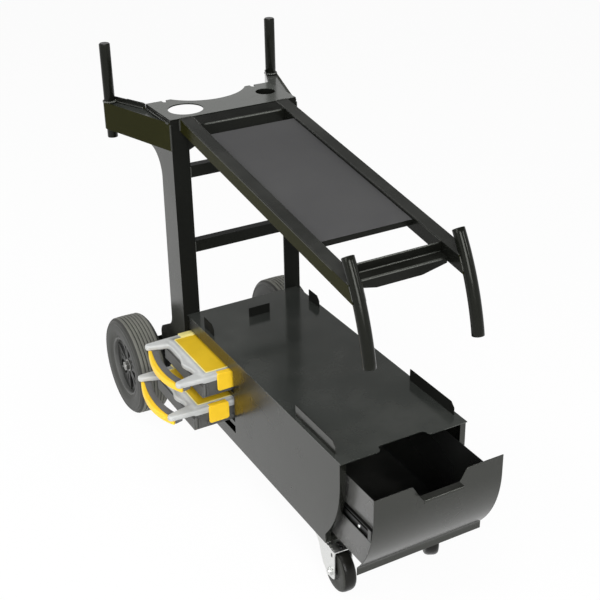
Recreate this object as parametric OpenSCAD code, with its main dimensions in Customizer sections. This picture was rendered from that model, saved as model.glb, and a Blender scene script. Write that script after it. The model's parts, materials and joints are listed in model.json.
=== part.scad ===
// Gas cylinder trolley: drawer cabinet on wheels, cylinder yoke, tilted tray, two slide-in tool cases
// Millimetres, +Z up, front towards -Y, left side (case bay) towards -X
// Built about the uprights' front face and the mid plane, then moved so the box's bottom centre is the origin

/* [Cabinet] */
// Outside width of the cabinet
cab_w = 298; // [280:1:320]
// Front edge of the side panels, forward of the uprights
cab_d = 712; // [690:1:740]
// Top of the deck above the floor
deck_z = 342; // [336:1:350]
// Lower edge of the cabinet above the floor
cab_z = 110; // [108:1:114]
// Thickness of the cabinet's sheet
sheet = 2; // [1.5:0.1:2.5]
// Width of the folded front edge of a side panel
flange_w = 14; // [10:1:18]
// Radius of the rolled front
nose_r = 238; // [228:1:260]
// Drop from the deck to the start of the rolled front
nose_drop = 52; // [44:1:60]
// Height of the straight skirt below the rolled front
skirt_h = 24; // [20:1:28]
// Height of the bottom plate above the cabinet's lower edge
floor_lift = 10; // [8:1:12]

/* [Deck] */
// How far the deck reaches past the side panels
deck_over = 4; // [4:0.5:6]
// Width of the finger notch at its floor
notch_w = 94; // [80:1:110]
// Depth of the deck's finger notch
notch_d = 18; // [14:1:22]
// Height of the long edge lips
lip_h = 27; // [20:1:34]
// Length of the long edge lips
lip_l = 160; // [130:1:190]
// Length of the short edge lips
lip_s = 49; // [40:1:60]
// Distance of the long lips from the cabinet's front
lip_fore = 30; // [24:1:40]
// Front end of the short lips, forward of the uprights
lip_aft = 129; // [110:1:150]
// Width of the rear stop lip
stop_w = 55; // [45:1:65]
// Rear stop lip, forward of the uprights
stop_y = 88; // [80:1:100]
// Distance of the edge lips from the deck's side
lip_in = 8; // [6:1:12]

/* [Case bay] */
// Rear end of the bay opening, forward of the uprights
bay_rear = 4; // [3:0.5:5]
// Gap between a case and the rear end of the bay opening
bay_gap = 2; // [2:0.5:4]
// Room in the bay opening in front of a case
bay_slack = 18; // [12:1:22]
// Lower edge of the bay opening
bay_z0 = 142; // [138:1:148]
// Upper edge of the bay opening
bay_z1 = 307; // [306:1:312]
// Distance from the bay opening to the bay's front wall
bay_deep = 48; // [46:1:54]
// Top of the lower shelf
shelf_lo = 170; // [166:1:172]
// Top of the upper shelf
shelf_up = 248; // [246:1:249]

/* [Drawer] */
// Drawer opening in the pose as drawn
draw_open = 120; // [60:1:150]
// Room behind the closed drawer
draw_clear = 24; // [18:1:40]
// Gap between a runner and the panel's front flange
draw_pass = 1.2; // [1:0.1:2]
// Height of the drawer body's walls
draw_h = 180; // [170:1:184]
// Gap between the cabinet's floor and the drawer's
draw_lift = 2; // [1:0.5:4]
// Distance of a runner's end behind the drawer front
runner_in = 34; // [28:1:40]
// Sheet thickness of the drawer body
draw_t = 1.6; // [1.2:0.1:2]
// Gap between deck and drawer front
draw_gap = 7; // [5:1:9]
// Depth of the notch in the drawer front
pull_d = 27; // [22:1:30]
// Reach of the pull lip
pull_l = 16; // [12:1:20]
// Height of the slide runner
runner_h = 29; // [26:1:34]
// Width of the slide runner
runner_w = 6; // [5:0.5:6.5]
// Clearance round the slide runner
slide_gap = 0.8; // [0.6:0.1:1]

/* [Uprights] */
// How far an upright stands out past the cabinet
up_out = 9.3; // [6:0.1:14]
// Width of an upright's front face
up_w = 42; // [36:1:48]
// Depth of an upright's side plate under its head
up_d = 70; // [64:1:78]
// Depth of an upright's side plate at the foot
foot_d = 79; // [70:1:84]
// Thickness of the uprights' plate
up_t = 3; // [2.5:0.1:4]
// Fillet under the flared head
head_r = 62; // [50:1:66]
// Drop from the yoke's top to the head's lower edge
head_drop = 93.5; // [86:0.5:104]
// Height at which the foot leaves the side plate
foot_z = 286; // [280:1:294]
// Heel of the foot behind the front face
heel_y = 158; // [150:1:166]
// Heel of the foot above the floor
heel_z = 242; // [236:1:248]
// Radius in the foot's knee
knee_r = 34; // [26:1:38]
// Radius round the foot's heel
heel_r = 30; // [16:1:34]
// Radius of the axle boss on the foot
boss_r = 32; // [26:1:38]
// Height of the crossbars' section
bar_h = 28; // [24:1:32]
// Depth of the crossbars' section
bar_d = 22; // [18:1:26]
// Lower edge of the upper crossbar
bar_up_z = 685; // [660:1:700]
// Lower edge of the lower crossbar
bar_lo_z = 499; // [470:1:520]

/* [Yoke] */
// Top of the yoke plate above the floor
yoke_z = 828.5; // [818:0.5:840]
// Depth of the yoke plate
yoke_d = 140; // [136:1:146]
// Thickness of the yoke plate
yoke_t = 3; // [2.5:0.1:4]
// Radius of the cylinder hollow
cyl_r = 116; // [106:1:118]
// Centre of the cylinder hollow behind the uprights' front face
cyl_y = 206; // [202:1:212]
// Diameter of the large torch hole
torch_big = 80; // [70:1:84]
// Diameter of the small torch hole
torch_small = 46; // [38:1:52]
// Land between a torch hole and the plate's nearest edge
hole_edge = 17; // [14:1:20]
// Land between the large torch hole and the plate's side
big_in = 23; // [18:1:28]
// Land in front of the small torch hole
small_fore = 54; // [46:1:62]
// Distance of the chain slots from the yoke plate's ends
slot_in = 44.3; // [40:0.1:46]
// Width of the chain slots
slot_w = 10; // [8:1:12]
// Height of the apron below the yoke plate
apron_h = 67; // [58:1:74]
// Height of the ear straps
ear_h = 65; // [56:1:68]
// Drop from the yoke's top to the ear straps
ear_drop = 8.5; // [7:0.5:11]
// Thickness of the ear straps
ear_t = 3; // [2.5:0.1:4]
// Drop from the ear straps' tops to the web between them
web_drop = 4; // [3:0.5:8]
// Length of the sleeve under the small torch hole
sleeve_l = 48; // [40:1:60]
// Diameter of the handle posts
post_d = 25.4; // [22:0.1:28]
// Distance of a handle post out from its upright
post_out = 54.2; // [50:0.1:60]
// Distance of a handle post behind the yoke plate
post_back = 89.3; // [85:0.1:94]
// Step from a post down to the seat that its ear holds
post_step = 0.6; // [0.5:0.1:1]
// Rise of the handle posts above the yoke's top
post_rise = 128.5; // [100:0.5:150]
// Length of a handle post below its ear
post_tail = 21; // [11:1:31]

/* [Tray] */
// Slope of the tray
tilt = 8.25; // [6:0.25:10]
// Side of the rails' square section
rail_w = 30; // [26:0.5:32]
// Wall of the tubes
tube_t = 2; // [1.6:0.1:2.4]
// Distance of a rail in from the upright's outer face
rail_in = 22.9; // [18:0.1:26]
// Depth of the rear cross tube
tube_d = 41; // [34:1:46]
// Rear edge of the panel, along the slope
panel_y0 = 86; // [80:1:92]
// Front edge of the panel, along the slope
panel_y1 = 571; // [540:1:590]
// Drop of the panel below the rails' tops
panel_drop = 6; // [4:0.5:8]
// Height of the panel's front fold
panel_lip = 11; // [8:1:14]
// Back wall of the trough, along the slope
trough_y = 670; // [660:1:674]
// Height of the trough's back wall
trough_h = 21; // [18:1:24]
// Depth of the trough's floor
trough_d = 24; // [20:1:28]
// Height of the trough's front fold
trough_f = 26; // [20:1:30]
// Radius of the horns' bend
horn_r = 540; // [520:5:560]
// Centre of the horns' bend, forward of the uprights
horn_cy = 241; // [236:1:246]
// Centre of the horns' bend below the yoke's top
horn_drop = 356; // [350:0.5:362]
// Lower end of a horn on its bend, from the level
horn_a0 = 11; // [9:0.5:14]
// Upper end of a horn on its bend, from the level
horn_a1 = 33; // [31:0.5:36]

/* [Rear wheels] */
// Radius of the tyres
wheel_r = 127; // [124:1:130]
// Width of the tyres
tyre_w = 80; // [72:1:84]
// Radius of the rims' bead
rim_r = 77; // [70:1:84]
// Gap between a tyre and its upright
tyre_gap = 16.7; // [12:0.1:22]
// Depth of the hub behind the tyre's outer face
hub_deep = 18; // [14:1:20]
// Diameter of the axle
axle_d = 16; // [14:0.5:18]
// Axle behind the uprights' front face
axle_y = 203; // [196:1:208]
// Radial clearance of the wheels on the axle
run_gap = 0.08; // [0.04:0.01:0.1]
// Top of the cylinder platform above the axle's top
plat_lift = 6; // [4:0.5:10]
// Rear edge of the platform
plat_y = 272; // [262:1:278]
// Height of the platform's rear lip
plat_lip = 30; // [24:1:36]
// Rise of the rear lip above the platform
plat_rise = 8; // [6:1:12]

/* [Casters] */
// Radius of the caster wheels
caster_r = 50; // [48:0.5:50.5]
// Width of the caster wheels
caster_w = 30; // [26:1:32]
// Outside width of the forks
fork_w = 43; // [41:0.5:46]
// Thickness of the forks' plate
fork_t = 3; // [2.5:0.1:3]
// Side of the caster plates
pad_w = 44; // [42:1:48]
// Gap between a caster plate and the skirt
pad_in = 5; // [3:0.5:8]
// Distance from kingpin to caster axle
trail = 48; // [44:1:50]
// Diameter of the kingpins and caster axles
pin_d = 12; // [10:0.5:13]
// Turn of the left caster as drawn
swivel_left = -3; // [-40:1:40]
// Turn of the right caster as drawn
swivel_right = -27; // [-40:1:40]

/* [Cases] */
// Length of a case without its handle
case_l = 300; // [280:1:303]
// Width of a case
case_w = 218; // [212:1:220]
// Height of a case
case_h = 52; // [48:0.5:52]
// Height of the case's seam
seam_h = 30; // [26:1:32]
// How far the upper case stands out of the cabinet
case_up_out = 68; // [60:1:80]
// How far the lower case stands out of the cabinet
case_lo_out = 93; // [80:1:106]
// Reach of the handle
grip_out = 66; // [60:1:70]
// Thickness of the grip
grip_t = 15; // [12:1:18]
// Thickness of the bar behind the grip
back_t = 14; // [10:1:16]
// Distance from the grip's crown to an arm's tip
arm_in = 7; // [5:1:10]
// Height of the grip
grip_h = 16; // [12:1:18]
// Width of the handle's arms
arm_w = 24; // [20:1:28]
// Radius of the grip's curve
grip_r = 242; // [220:1:260]
// Clearance under the cases
case_gap = 0.3; // [0.3:0.1:0.5]
// Width of the latches
latch_w = 57; // [46:1:60]
// Thickness of the latches
latch_t = 4; // [3:0.5:4.5]

/* [Hidden] */
$fn = 96;
eps = 0.01;

// Colours
paint = [0.09, 0.09, 0.09];
dark = [0.13, 0.13, 0.14];
rubber = [0.12, 0.12, 0.12];
zinc = [0.62, 0.62, 0.60];
grey = [0.55, 0.56, 0.56];
yellow = [0.93, 0.72, 0.05];

// Values that follow from the sizes above
half = cab_w / 2;
deck_front = cab_d + deck_over;
nose_z = deck_z - nose_drop;
nose_end = cab_z + skirt_h;
floor_z = cab_z + floor_lift;
function nose_back(r) = r - sqrt(r * r - pow(nose_z - nose_end, 2));
skirt_y = -cab_d + nose_back(nose_r);
skirt_in = -cab_d + sheet + nose_back(nose_r - sheet);
case_y = bay_rear + bay_gap + case_w / 2;
bay_front = case_y + case_w / 2 + bay_slack;
bay_wall = bay_front + bay_deep;
case_up_x = half + case_up_out;
case_lo_x = half + case_lo_out;

up_span = cab_w + 2 * up_out;
up_x = up_span / 2;
bar_x = up_x - up_w;
yoke_low = yoke_z - yoke_t;
axle_z = wheel_r;
axle_r = axle_d / 2;
track_w = up_span + 2 * (tyre_gap + tyre_w);
wheel_x = track_w / 2 - tyre_w / 2;
hub_in = up_x + 2.5;
hub_out = track_w / 2 - hub_deep;
washer_t = 2;
nut_t = 9;
axle_half = hub_out + 0.3 + washer_t + nut_t + 1;
plat_z = axle_z + axle_r + plat_lift;

post_r = post_d / 2;
seat_r = post_r - post_step;
post_x = up_x + post_out;
post_y = yoke_d + post_back;
slot_x = up_x - slot_in;
ear_top = yoke_z - ear_drop;
ear_low = ear_top - ear_h;
post_top = yoke_z + post_rise;
post_low = ear_low - post_tail;
head_z = yoke_z - head_drop;
horn_cz = yoke_z - horn_drop;

rail_gap = up_span - 2 * (rail_in + rail_w);
rail_x = rail_gap / 2;
rail_cut = trough_y * 1.2;
horn_x = rail_x + rail_w / 2;

draw_t_front = sheet;
draw_y = -deck_front - draw_open;
draw_side = flange_w + draw_pass + runner_w;
draw_w = cab_w - 2 * draw_side;
draw_top = deck_z - sheet - draw_gap;
draw_floor = floor_z + sheet + draw_lift;
draw_l = deck_front - draw_t_front - bay_wall - draw_clear;
draw_back = draw_y + draw_t_front + draw_l;
slide_z = draw_floor + draw_h * 0.54;
runner_y0 = draw_y + runner_in;
chan_t = 2;
chan_front = cab_d - nose_back(nose_r) * 0.36;
chan_back = bay_wall + 20;
spacer_l = 40;
spacer_h = 18;
spacer_in = 30;

pin_r = pin_d / 2;
pad_t = 4;
pad_x = half - sheet - pad_w / 2 - 2;
pad_y = skirt_y + sheet + pad_w / 2 + pad_in;
crown_z = caster_r * 2 + 4;
race_z = crown_z + fork_t + 3;
race_r = 20;
fork_in = fork_w - 2 * fork_t;

grip_cx = grip_r - grip_out;
arm_l = grip_out - arm_in;
arm_z = seam_h + 3;
latch_z = 12;
latch_y = -(case_w / 2 + 0.5 + latch_t / 2);
latch_u = 36;
lid_end = 19;
lid_side = 20;
lid_t = 6;

box_x0 = -case_lo_x - grip_out;
box_x1 = track_w / 2;
box_y0 = draw_y - pull_l;
box_y1 = axle_y + wheel_r;
mid_x = (box_x0 + box_x1) / 2;
mid_y = (box_y0 + box_y1) / 2;

// Moves the finished piece to the part's origin
module place() {
  translate([-mid_x, -mid_y, 0]) children();
}

// Turns a piece drawn for the right side into one for the side asked for
module flip(s) {
  if (s < 0) mirror([1, 0, 0]) children();
  else children();
}

// Outline in depth and height, given a thickness across
module yz(x0, w) {
  translate([x0, 0, 0]) rotate([90, 0, 90]) linear_extrude(w) children();
}

// Frame of the tilted tray, its top at zero height and the uprights' face at zero depth
module tray() {
  translate([0, 0, yoke_z]) rotate([tilt, 0, 0]) children();
}

// Rectangle with round corners, standing on its lower left corner
module rrect(w, h, r) {
  translate([r, 0]) square([w - 2 * r, h]);
  translate([0, r]) square([w, h - 2 * r]);
  for (x = [r, w - r]) for (y = [r, h - r]) translate([x, y]) circle(r);
}

// Side view of the cabinet's rolled front, from its front edge back to the uprights
module nose_2d(front, r, top, low, back) {
  y_end = front + nose_back(r);
  translate([front, nose_z]) square([back - front, top - nose_z]);
  intersection() {
    translate([front + r, nose_z]) circle(r, $fn = 240);
    translate([front, nose_end]) square([r, nose_z - nose_end]);
  }
  translate([front + r, nose_end]) square([back - front - r, nose_z - nose_end]);
  translate([y_end, low]) square([back - y_end, nose_end - low + eps]);
}

// Finger notch with rounded mouth and floor corners, cut from the edge at zero
module notch_2d(b, m, depth) {
  r = min((m - b) / 2, depth / 2);
  mid = b + r;
  translate([-mid, -1]) square([2 * mid, depth - r + 1]);
  translate([-b, -1]) square([2 * b, depth + 1]);
  for (s = [-1, 1]) translate([s * b, depth - r]) circle(r);
  for (s = [-1, 1]) scale([s, 1]) difference() {
    translate([mid - eps, -1]) square([r + eps, r + 1]);
    translate([mid + r, r]) circle(r);
  }
}

// Upright tab with a cut corner at its front
module lip_2d(l, h) {
  c = h * 0.4;
  polygon([[0, 0], [l, 0], [l, h], [c, h], [0, h - c]]);
}

module base_deck() {
  color(paint) place() {
    difference() {
      translate([-half, -deck_front, deck_z - sheet]) cube([cab_w, deck_front, sheet]);
      translate([0, -deck_front, deck_z - sheet - 1]) linear_extrude(sheet + 2)
        notch_2d(notch_w / 2, notch_w / 2 + notch_d, notch_d);
    }
    for (s = [-1, 1]) flip(s) {
      translate([0, -cab_d + lip_fore, deck_z]) yz(half - lip_in - sheet, sheet) lip_2d(lip_l, lip_h);
      translate([0, -lip_aft, deck_z]) yz(half - lip_in - sheet, sheet) lip_2d(lip_s, lip_h);
    }
    translate([-stop_w / 2, -stop_y, deck_z]) cube([stop_w, sheet, lip_h - 2 * sheet]);
  }
}

module side_panel(s) {
  color(paint) place() flip(s) {
    difference() {
      yz(half - sheet, sheet) nose_2d(-cab_d, nose_r, deck_z - sheet, cab_z, 0);
      if (s < 0) translate([0, -bay_front, bay_z0]) yz(half - sheet - 1, sheet + 2)
        rrect(bay_front - bay_rear, bay_z1 - bay_z0, 2);
    }
    yz(half - flange_w, flange_w - sheet + eps) difference() {
      nose_2d(-cab_d, nose_r, deck_z - sheet, cab_z, -cab_d + nose_r + 20);
      nose_2d(-cab_d + sheet, nose_r - sheet, deck_z + 1, cab_z - 1, -cab_d + nose_r + 30);
    }
  }
}
module side_panel_left() { side_panel(-1); }
module side_panel_right() { side_panel(1); }

module rear_panel() {
  color(paint) place() translate([-half + sheet, -sheet, cab_z])
    cube([cab_w - 2 * sheet, sheet, deck_z - sheet - cab_z]);
}

module bottom_plate() {
  color(paint) place() {
    translate([-half + sheet, skirt_in, floor_z])
      cube([cab_w - 2 * sheet, -sheet - skirt_in, sheet]);
    translate([-half + flange_w, skirt_y, cab_z])
      cube([cab_w - 2 * flange_w, skirt_in - skirt_y + eps, floor_lift + sheet]);
  }
}

module bay_partition() {
  color(paint) place() translate([-half + sheet, -bay_wall, floor_z + sheet])
    cube([cab_w - 2 * sheet, sheet, deck_z - sheet - floor_z - sheet]);
}

module case_shelf(top) {
  color(paint) place() {
    translate([-half + sheet, -bay_wall + sheet, top - case_gap - sheet])
      cube([cab_w - 2 * sheet, bay_wall - 2 * sheet, sheet]);
    translate([-half + sheet, -bay_wall + sheet, top - case_gap - 12])
      cube([sheet, bay_wall - 2 * sheet, 12 - eps]);
  }
}
module case_shelf_lower() { case_shelf(shelf_lo); }
module case_shelf_upper() { case_shelf(shelf_up); }

// Side plate of an upright: flared head, slanted heel, boss at the axle
function unit(v) = v / norm(v);
function tangent(p, c, r, s) =
  let (d = norm(c - p), a = atan2(c[1] - p[1], c[0] - p[0]) + s * asin(r / d), l = sqrt(d * d - r * r))
  [p[0] + l * cos(a), p[1] + l * sin(a)];

module upright_2d() {
  r = min(head_r, yoke_d - up_d);
  neck = [up_d, head_z - r];
  knee = [foot_d, foot_z];
  heel = [heel_y, heel_z];
  hub = [axle_y, axle_z];
  calf = [heel_y, axle_z + 2 * boss_r];
  rise = unit(neck - knee);
  slope = unit(heel - knee);
  bend = acos(-rise * slope) / 2;
  t = knee_r * tan(bend);
  u = heel_r * tan(acos(-slope[1]) / 2);
  difference() {
    union() {
      polygon([[0, cab_z], [up_d, cab_z], knee, neck, [up_d, yoke_low], [0, yoke_low]]);
      translate([0, head_z]) square([yoke_d, yoke_low - head_z]);
      difference() {
        translate([up_d - eps, head_z - r]) square([r + eps, r + eps]);
        translate([up_d + r, head_z - r]) circle(r);
      }
      difference() {
        polygon([[0, cab_z], [0, foot_z], knee, heel, calf, tangent(calf, hub, boss_r, -1), hub,
          tangent([0, cab_z], hub, boss_r, -1)]);
        polygon([heel - u * slope, heel, heel - [0, u]]);
      }
      translate(heel - u * slope + heel_r * [slope[1], -slope[0]]) circle(heel_r + eps);
      difference() {
        polygon([knee + t * rise - [1, 0], knee + t * rise, knee + t * slope, knee - [1, 1]]);
        translate(knee + knee_r / cos(bend) * unit(rise + slope)) circle(knee_r + eps);
      }
      translate(hub) circle(boss_r);
    }
    translate(hub) circle(axle_r + run_gap);
  }
}

module upright(s) {
  color(paint) place() flip(s) {
    yz(up_x - up_t, up_t) upright_2d();
    translate([bar_x, 0, cab_z]) cube([up_w - up_t + eps, up_t, yoke_low - cab_z]);
  }
}
module upright_left() { upright(-1); }
module upright_right() { upright(1); }

module crossbar(z) {
  color(paint) place() difference() {
    translate([-bar_x, 0, z]) cube([2 * bar_x, bar_d, bar_h]);
    translate([-bar_x - 1, tube_t, z + tube_t])
      cube([2 * bar_x + 2, bar_d - 2 * tube_t, bar_h - 2 * tube_t]);
  }
}
module crossbar_upper() { crossbar(bar_up_z); }
module crossbar_lower() { crossbar(bar_lo_z); }

big_pos = [torch_big / 2 + big_in - up_x, torch_big / 2 + hole_edge];
small_pos = [up_x - torch_small / 2 - hole_edge, torch_small / 2 + small_fore];

module yoke_plate() {
  color(paint) place() {
    translate([0, 0, yoke_low]) linear_extrude(yoke_t) difference() {
      translate([-up_x, 0]) square([up_span, yoke_d]);
      translate([0, cyl_y]) circle(cyl_r, $fn = 180);
      translate(big_pos) circle(torch_big / 2);
      translate(small_pos) circle(torch_small / 2);
      for (s = [-1, 1]) translate([s * slot_x, yoke_d - 8]) {
        circle(slot_w / 2);
        translate([-slot_w / 2, 0]) square([slot_w, 10]);
      }
    }
    translate([small_pos[0], small_pos[1], yoke_z - sleeve_l]) difference() {
      cylinder(r = torch_small / 2 + tube_t, h = sleeve_l - yoke_t + eps);
      translate([0, 0, -1]) cylinder(r = torch_small / 2, h = sleeve_l);
    }
  }
}

module yoke_apron() {
  z = yoke_low - apron_h;
  color(paint) place() translate([0, up_t, 0]) rotate([90, 0, 0]) linear_extrude(up_t)
    polygon([[-bar_x, yoke_low], [-bar_x, z - 7], [-bar_x + 16, z], [bar_x - 16, z], [bar_x, z - 7],
      [bar_x, yoke_low]]);
}

// Plan of an ear: straps run from the upright to the post and bend round it
post_c = [post_x, post_y];
ear_a = [up_x, 0];
ear_b = [up_x, yoke_d];
ear_ta = tangent(ear_a, post_c, seat_r + ear_t, -1);
ear_tb = tangent(ear_b, post_c, seat_r + ear_t, 1);
ear_na = [unit(ear_ta - ear_a)[1], -unit(ear_ta - ear_a)[0]];
ear_nb = [-unit(ear_tb - ear_b)[1], unit(ear_tb - ear_b)[0]];
ear_a1 = [up_x, ear_t / unit(ear_ta - ear_a)[0]];
ear_b1 = [up_x, yoke_d - ear_t / unit(ear_tb - ear_b)[0]];

module ear_in_2d() {
  polygon([ear_a1, ear_ta - ear_t * ear_na, post_c, ear_tb - ear_t * ear_nb, ear_b1]);
  translate(post_c) circle(seat_r);
}

module ear(s) {
  color(paint) place() flip(s) translate([0, 0, ear_low]) linear_extrude(ear_h) difference() {
    union() {
      polygon([ear_a, ear_ta, post_c, ear_tb, ear_b]);
      translate(post_c) circle(seat_r + ear_t);
    }
    ear_in_2d();
  }
}
module ear_left() { ear(-1); }
module ear_right() { ear(1); }

module ear_web(s) {
  z = ear_top - web_drop - ear_t;
  color(paint) place() flip(s) translate([0, 0, z]) linear_extrude(ear_t) difference() {
    ear_in_2d();
    translate(post_c) circle(seat_r);
  }
}
module ear_web_left() { ear_web(-1); }
module ear_web_right() { ear_web(1); }

module handle_post(s) {
  cap = 2;
  color(paint) place() flip(s) translate([post_x, post_y, post_low]) {
    cylinder(r = seat_r, h = ear_top - post_low + eps);
    translate([0, 0, ear_top - post_low]) cylinder(r = post_r, h = post_top - cap - ear_top);
    translate([0, 0, post_top - cap - post_low]) cylinder(r1 = post_r, r2 = post_r - cap, h = cap);
  }
}
module handle_post_left() { handle_post(-1); }
module handle_post_right() { handle_post(1); }

// Round bar bent about a level axis in front of the uprights
module horn_bar() {
  translate([horn_x, -horn_cy, horn_cz]) rotate([90, 0, -90]) rotate([0, 0, horn_a0])
    rotate_extrude(angle = horn_a1 - horn_a0, $fn = 240) translate([horn_r, 0]) circle(post_r, $fn = 64);
}

module cable_horn(s) {
  color(paint) place() flip(s) horn_bar();
}
module cable_horn_left() { cable_horn(-1); }
module cable_horn_right() { cable_horn(1); }

module tray_rail(s) {
  l = rail_cut + rail_w;
  bore = rail_w - 2 * tube_t;
  color(paint) place() flip(s) difference() {
    intersection() {
      tray() translate([rail_x, -rail_cut, -rail_w]) difference() {
        cube([rail_w, l, rail_w]);
        translate([tube_t, -1, tube_t]) cube([bore, l + 2, bore]);
      }
      translate([rail_x - 1, -horn_cy, horn_cz]) rotate([0, 90, 0])
        cylinder(r = horn_r, h = rail_w + 2, $fn = 240);
    }
    horn_bar();
    translate([rail_x - 1, 0, yoke_z - 3 * rail_w]) cube([rail_w + 2, 4 * rail_w, 5 * rail_w]);
  }
}
module tray_rail_left() { tray_rail(-1); }
module tray_rail_right() { tray_rail(1); }

module tray_cross_tube() {
  y0 = rail_w * tan(tilt) + 0.05;
  color(paint) place() tray() translate([-rail_x, -y0 - tube_d, -rail_w]) difference() {
    cube([rail_gap, tube_d, rail_w]);
    translate([-1, tube_t, tube_t]) cube([rail_gap + 2, tube_d - 2 * tube_t, rail_w - 2 * tube_t]);
  }
}

module tray_panel() {
  l = panel_y1 - panel_y0;
  color(dark) place() tray() translate([-rail_x, -panel_y1, -panel_drop - sheet]) {
    cube([rail_gap, l, sheet]);
    translate([0, 0, -panel_lip]) cube([rail_gap, sheet, panel_lip + eps]);
    for (x = [0, rail_gap - sheet]) translate([x, sheet - eps, -panel_lip])
      cube([sheet, l - sheet, panel_lip + eps]);
  }
}

module front_trough() {
  c = 55;
  color(paint) place() tray() {
    translate([-rail_x, -trough_y - sheet, -trough_h - sheet]) cube([rail_gap, sheet, trough_h + sheet]);
    translate([-rail_x, -trough_y - trough_d, -trough_h - sheet])
      cube([rail_gap, trough_d - sheet + eps, sheet]);
    translate([0, -trough_y - trough_d, 0]) rotate([90, 0, 0]) linear_extrude(sheet)
      polygon([[-rail_x, -trough_h], [-rail_x, -trough_h - trough_f / 2], [-rail_x + c, -trough_h - trough_f],
        [rail_x - c, -trough_h - trough_f], [rail_x, -trough_h - trough_f / 2], [rail_x, -trough_h]]);
  }
}

module cylinder_platform() {
  w = up_x - up_t;
  color(paint) place() {
    translate([-w, up_t, plat_z - up_t]) cube([2 * w, plat_y - up_t, up_t]);
    translate([-w, plat_y - up_t, plat_z + plat_rise - plat_lip]) cube([2 * w, up_t, plat_lip]);
  }
}

module rear_axle() {
  color(zinc) place() translate([-axle_half, axle_y, axle_z]) rotate([0, 90, 0])
    cylinder(r = axle_r, h = 2 * axle_half);
}

module axle_nuts() {
  color(zinc) place() for (s = [-1, 1]) flip(s) translate([hub_out + 0.3, axle_y, axle_z]) rotate([0, 90, 0])
    difference() {
      union() {
        cylinder(r = axle_r * 1.9, h = washer_t);
        translate([0, 0, washer_t - eps]) cylinder(r = axle_r * 1.6, h = nut_t, $fn = 6);
      }
      translate([0, 0, -1]) cylinder(r = axle_r, h = washer_t + nut_t + 2);
    }
}

// Fixed channel of a drawer slide, on two spacers against the side panel
module slide_channel(s) {
  x0 = draw_w / 2 + slide_gap;
  x1 = x0 + runner_w;
  h = runner_h + 2 * slide_gap;
  color(zinc) place() flip(s) {
    translate([x1, -chan_front, slide_z - h / 2 - chan_t])
      cube([chan_t, chan_front - chan_back, h + 2 * chan_t]);
    for (z = [-h / 2 - chan_t, h / 2]) translate([x0 + 1, -chan_front, slide_z + z])
      cube([runner_w - 1 + eps, chan_front - chan_back, chan_t]);
    for (y = [spacer_in - chan_front, -chan_back - spacer_in - spacer_l])
      translate([x1 + chan_t - eps, y, slide_z - spacer_h / 2])
        cube([half - sheet - x1 - chan_t + eps, spacer_l, spacer_h]);
  }
}
module slide_channel_left() { slide_channel(-1); }
module slide_channel_right() { slide_channel(1); }

// Moving channel of a drawer slide, on the drawer's side wall
module slide_runner(s) {
  h = runner_h - 2 * chan_t;
  color(zinc) place() flip(s) translate([draw_w / 2, runner_y0, slide_z - runner_h / 2]) difference() {
    cube([runner_w, draw_back - runner_y0, runner_h]);
    translate([chan_t, -1, chan_t]) cube([runner_w, draw_back - runner_y0 + 2, h]);
  }
}
module slide_runner_left() { slide_runner(-1); }
module slide_runner_right() { slide_runner(1); }

// Rolled drawer front with the notch and the lip to pull it by
module drawer_front() {
  t = draw_t_front;
  low = cab_z + 6;
  color(paint) place() {
    difference() {
      yz(-half, cab_w) difference() {
        nose_2d(draw_y, nose_r, draw_top, low, draw_y + nose_r + 10);
        nose_2d(draw_y + t, nose_r - t, draw_top + 1, low - 1, draw_y + nose_r + 20);
      }
      translate([0, draw_y + t + 1, draw_top]) rotate([90, 0, 0]) linear_extrude(t + 2)
        mirror([0, 1]) notch_2d(notch_w / 2, notch_w / 2 + 12, pull_d);
    }
    translate([-notch_w / 2, draw_y - pull_l, draw_top - pull_d - t])
      cube([notch_w, pull_l + eps, t]);
  }
}

module drawer_body() {
  t = draw_t;
  f = draw_y + draw_t_front;
  r = nose_r - draw_t_front;
  top = draw_floor + draw_h;
  color(dark) place() difference() {
    intersection() {
      yz(-draw_w / 2, draw_w) nose_2d(f, r, top, cab_z, draw_back);
      translate([-draw_w / 2, f, draw_floor]) cube([draw_w, draw_l, draw_h]);
    }
    intersection() {
      yz(-draw_w / 2 + t, draw_w - 2 * t) nose_2d(f + t, r - t, top + 1, cab_z, draw_back - t);
      translate([-draw_w / 2, f, draw_floor + t]) cube([draw_w, draw_l, draw_h]);
    }
  }
}

// Half an outline and its mirror image
function both(h) = concat(h, [for (i = [len(h) - 1 : -1 : 0]) [h[i][0], -h[i][1]]]);

// Turned outline of the left or right wheel, its axis across the trolley
module wheel_at(s) {
  flip(s) translate([wheel_x, axle_y, axle_z]) rotate([0, 90, 0]) children();
}

module tyre(s) {
  a = tyre_w / 2;
  color(rubber) place() wheel_at(s) rotate_extrude($fn = 144) difference() {
    polygon(both([[rim_r, a - 8], [rim_r + 6, a - 3], [wheel_r - 26, a], [wheel_r - 12, a - 1.5],
      [wheel_r - 4, a - 6], [wheel_r, a - 14]]));
    for (k = [-2 : 2]) translate([wheel_r - 5, k * tyre_w / 7 - 1.5]) square([6, 3]);
  }
}
module tyre_left() { tyre(-1); }
module tyre_right() { tyre(1); }

module rim(s) {
  a = tyre_w / 2;
  hub_r = axle_r * 2.8;
  disc = 8;
  color(dark) place() wheel_at(s) difference() {
    union() {
      rotate_extrude($fn = 144) {
        translate([rim_r - 6, -a + 8]) square([6, tyre_w - 16]);
        translate([hub_r - 1, a - 26]) square([rim_r - hub_r - 4, disc]);
        translate([axle_r + run_gap, hub_in - wheel_x]) square([hub_r - axle_r - run_gap, hub_out - hub_in]);
      }
    }
    for (k = [0 : 5]) rotate([0, 0, 60 * k]) translate([(hub_r + rim_r - 6) / 2, 0, a - 27])
      cylinder(r = (rim_r - 6 - hub_r) / 2 - 5, h = disc + 2);
  }
}
module rim_left() { rim(-1); }
module rim_right() { rim(1); }

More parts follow.
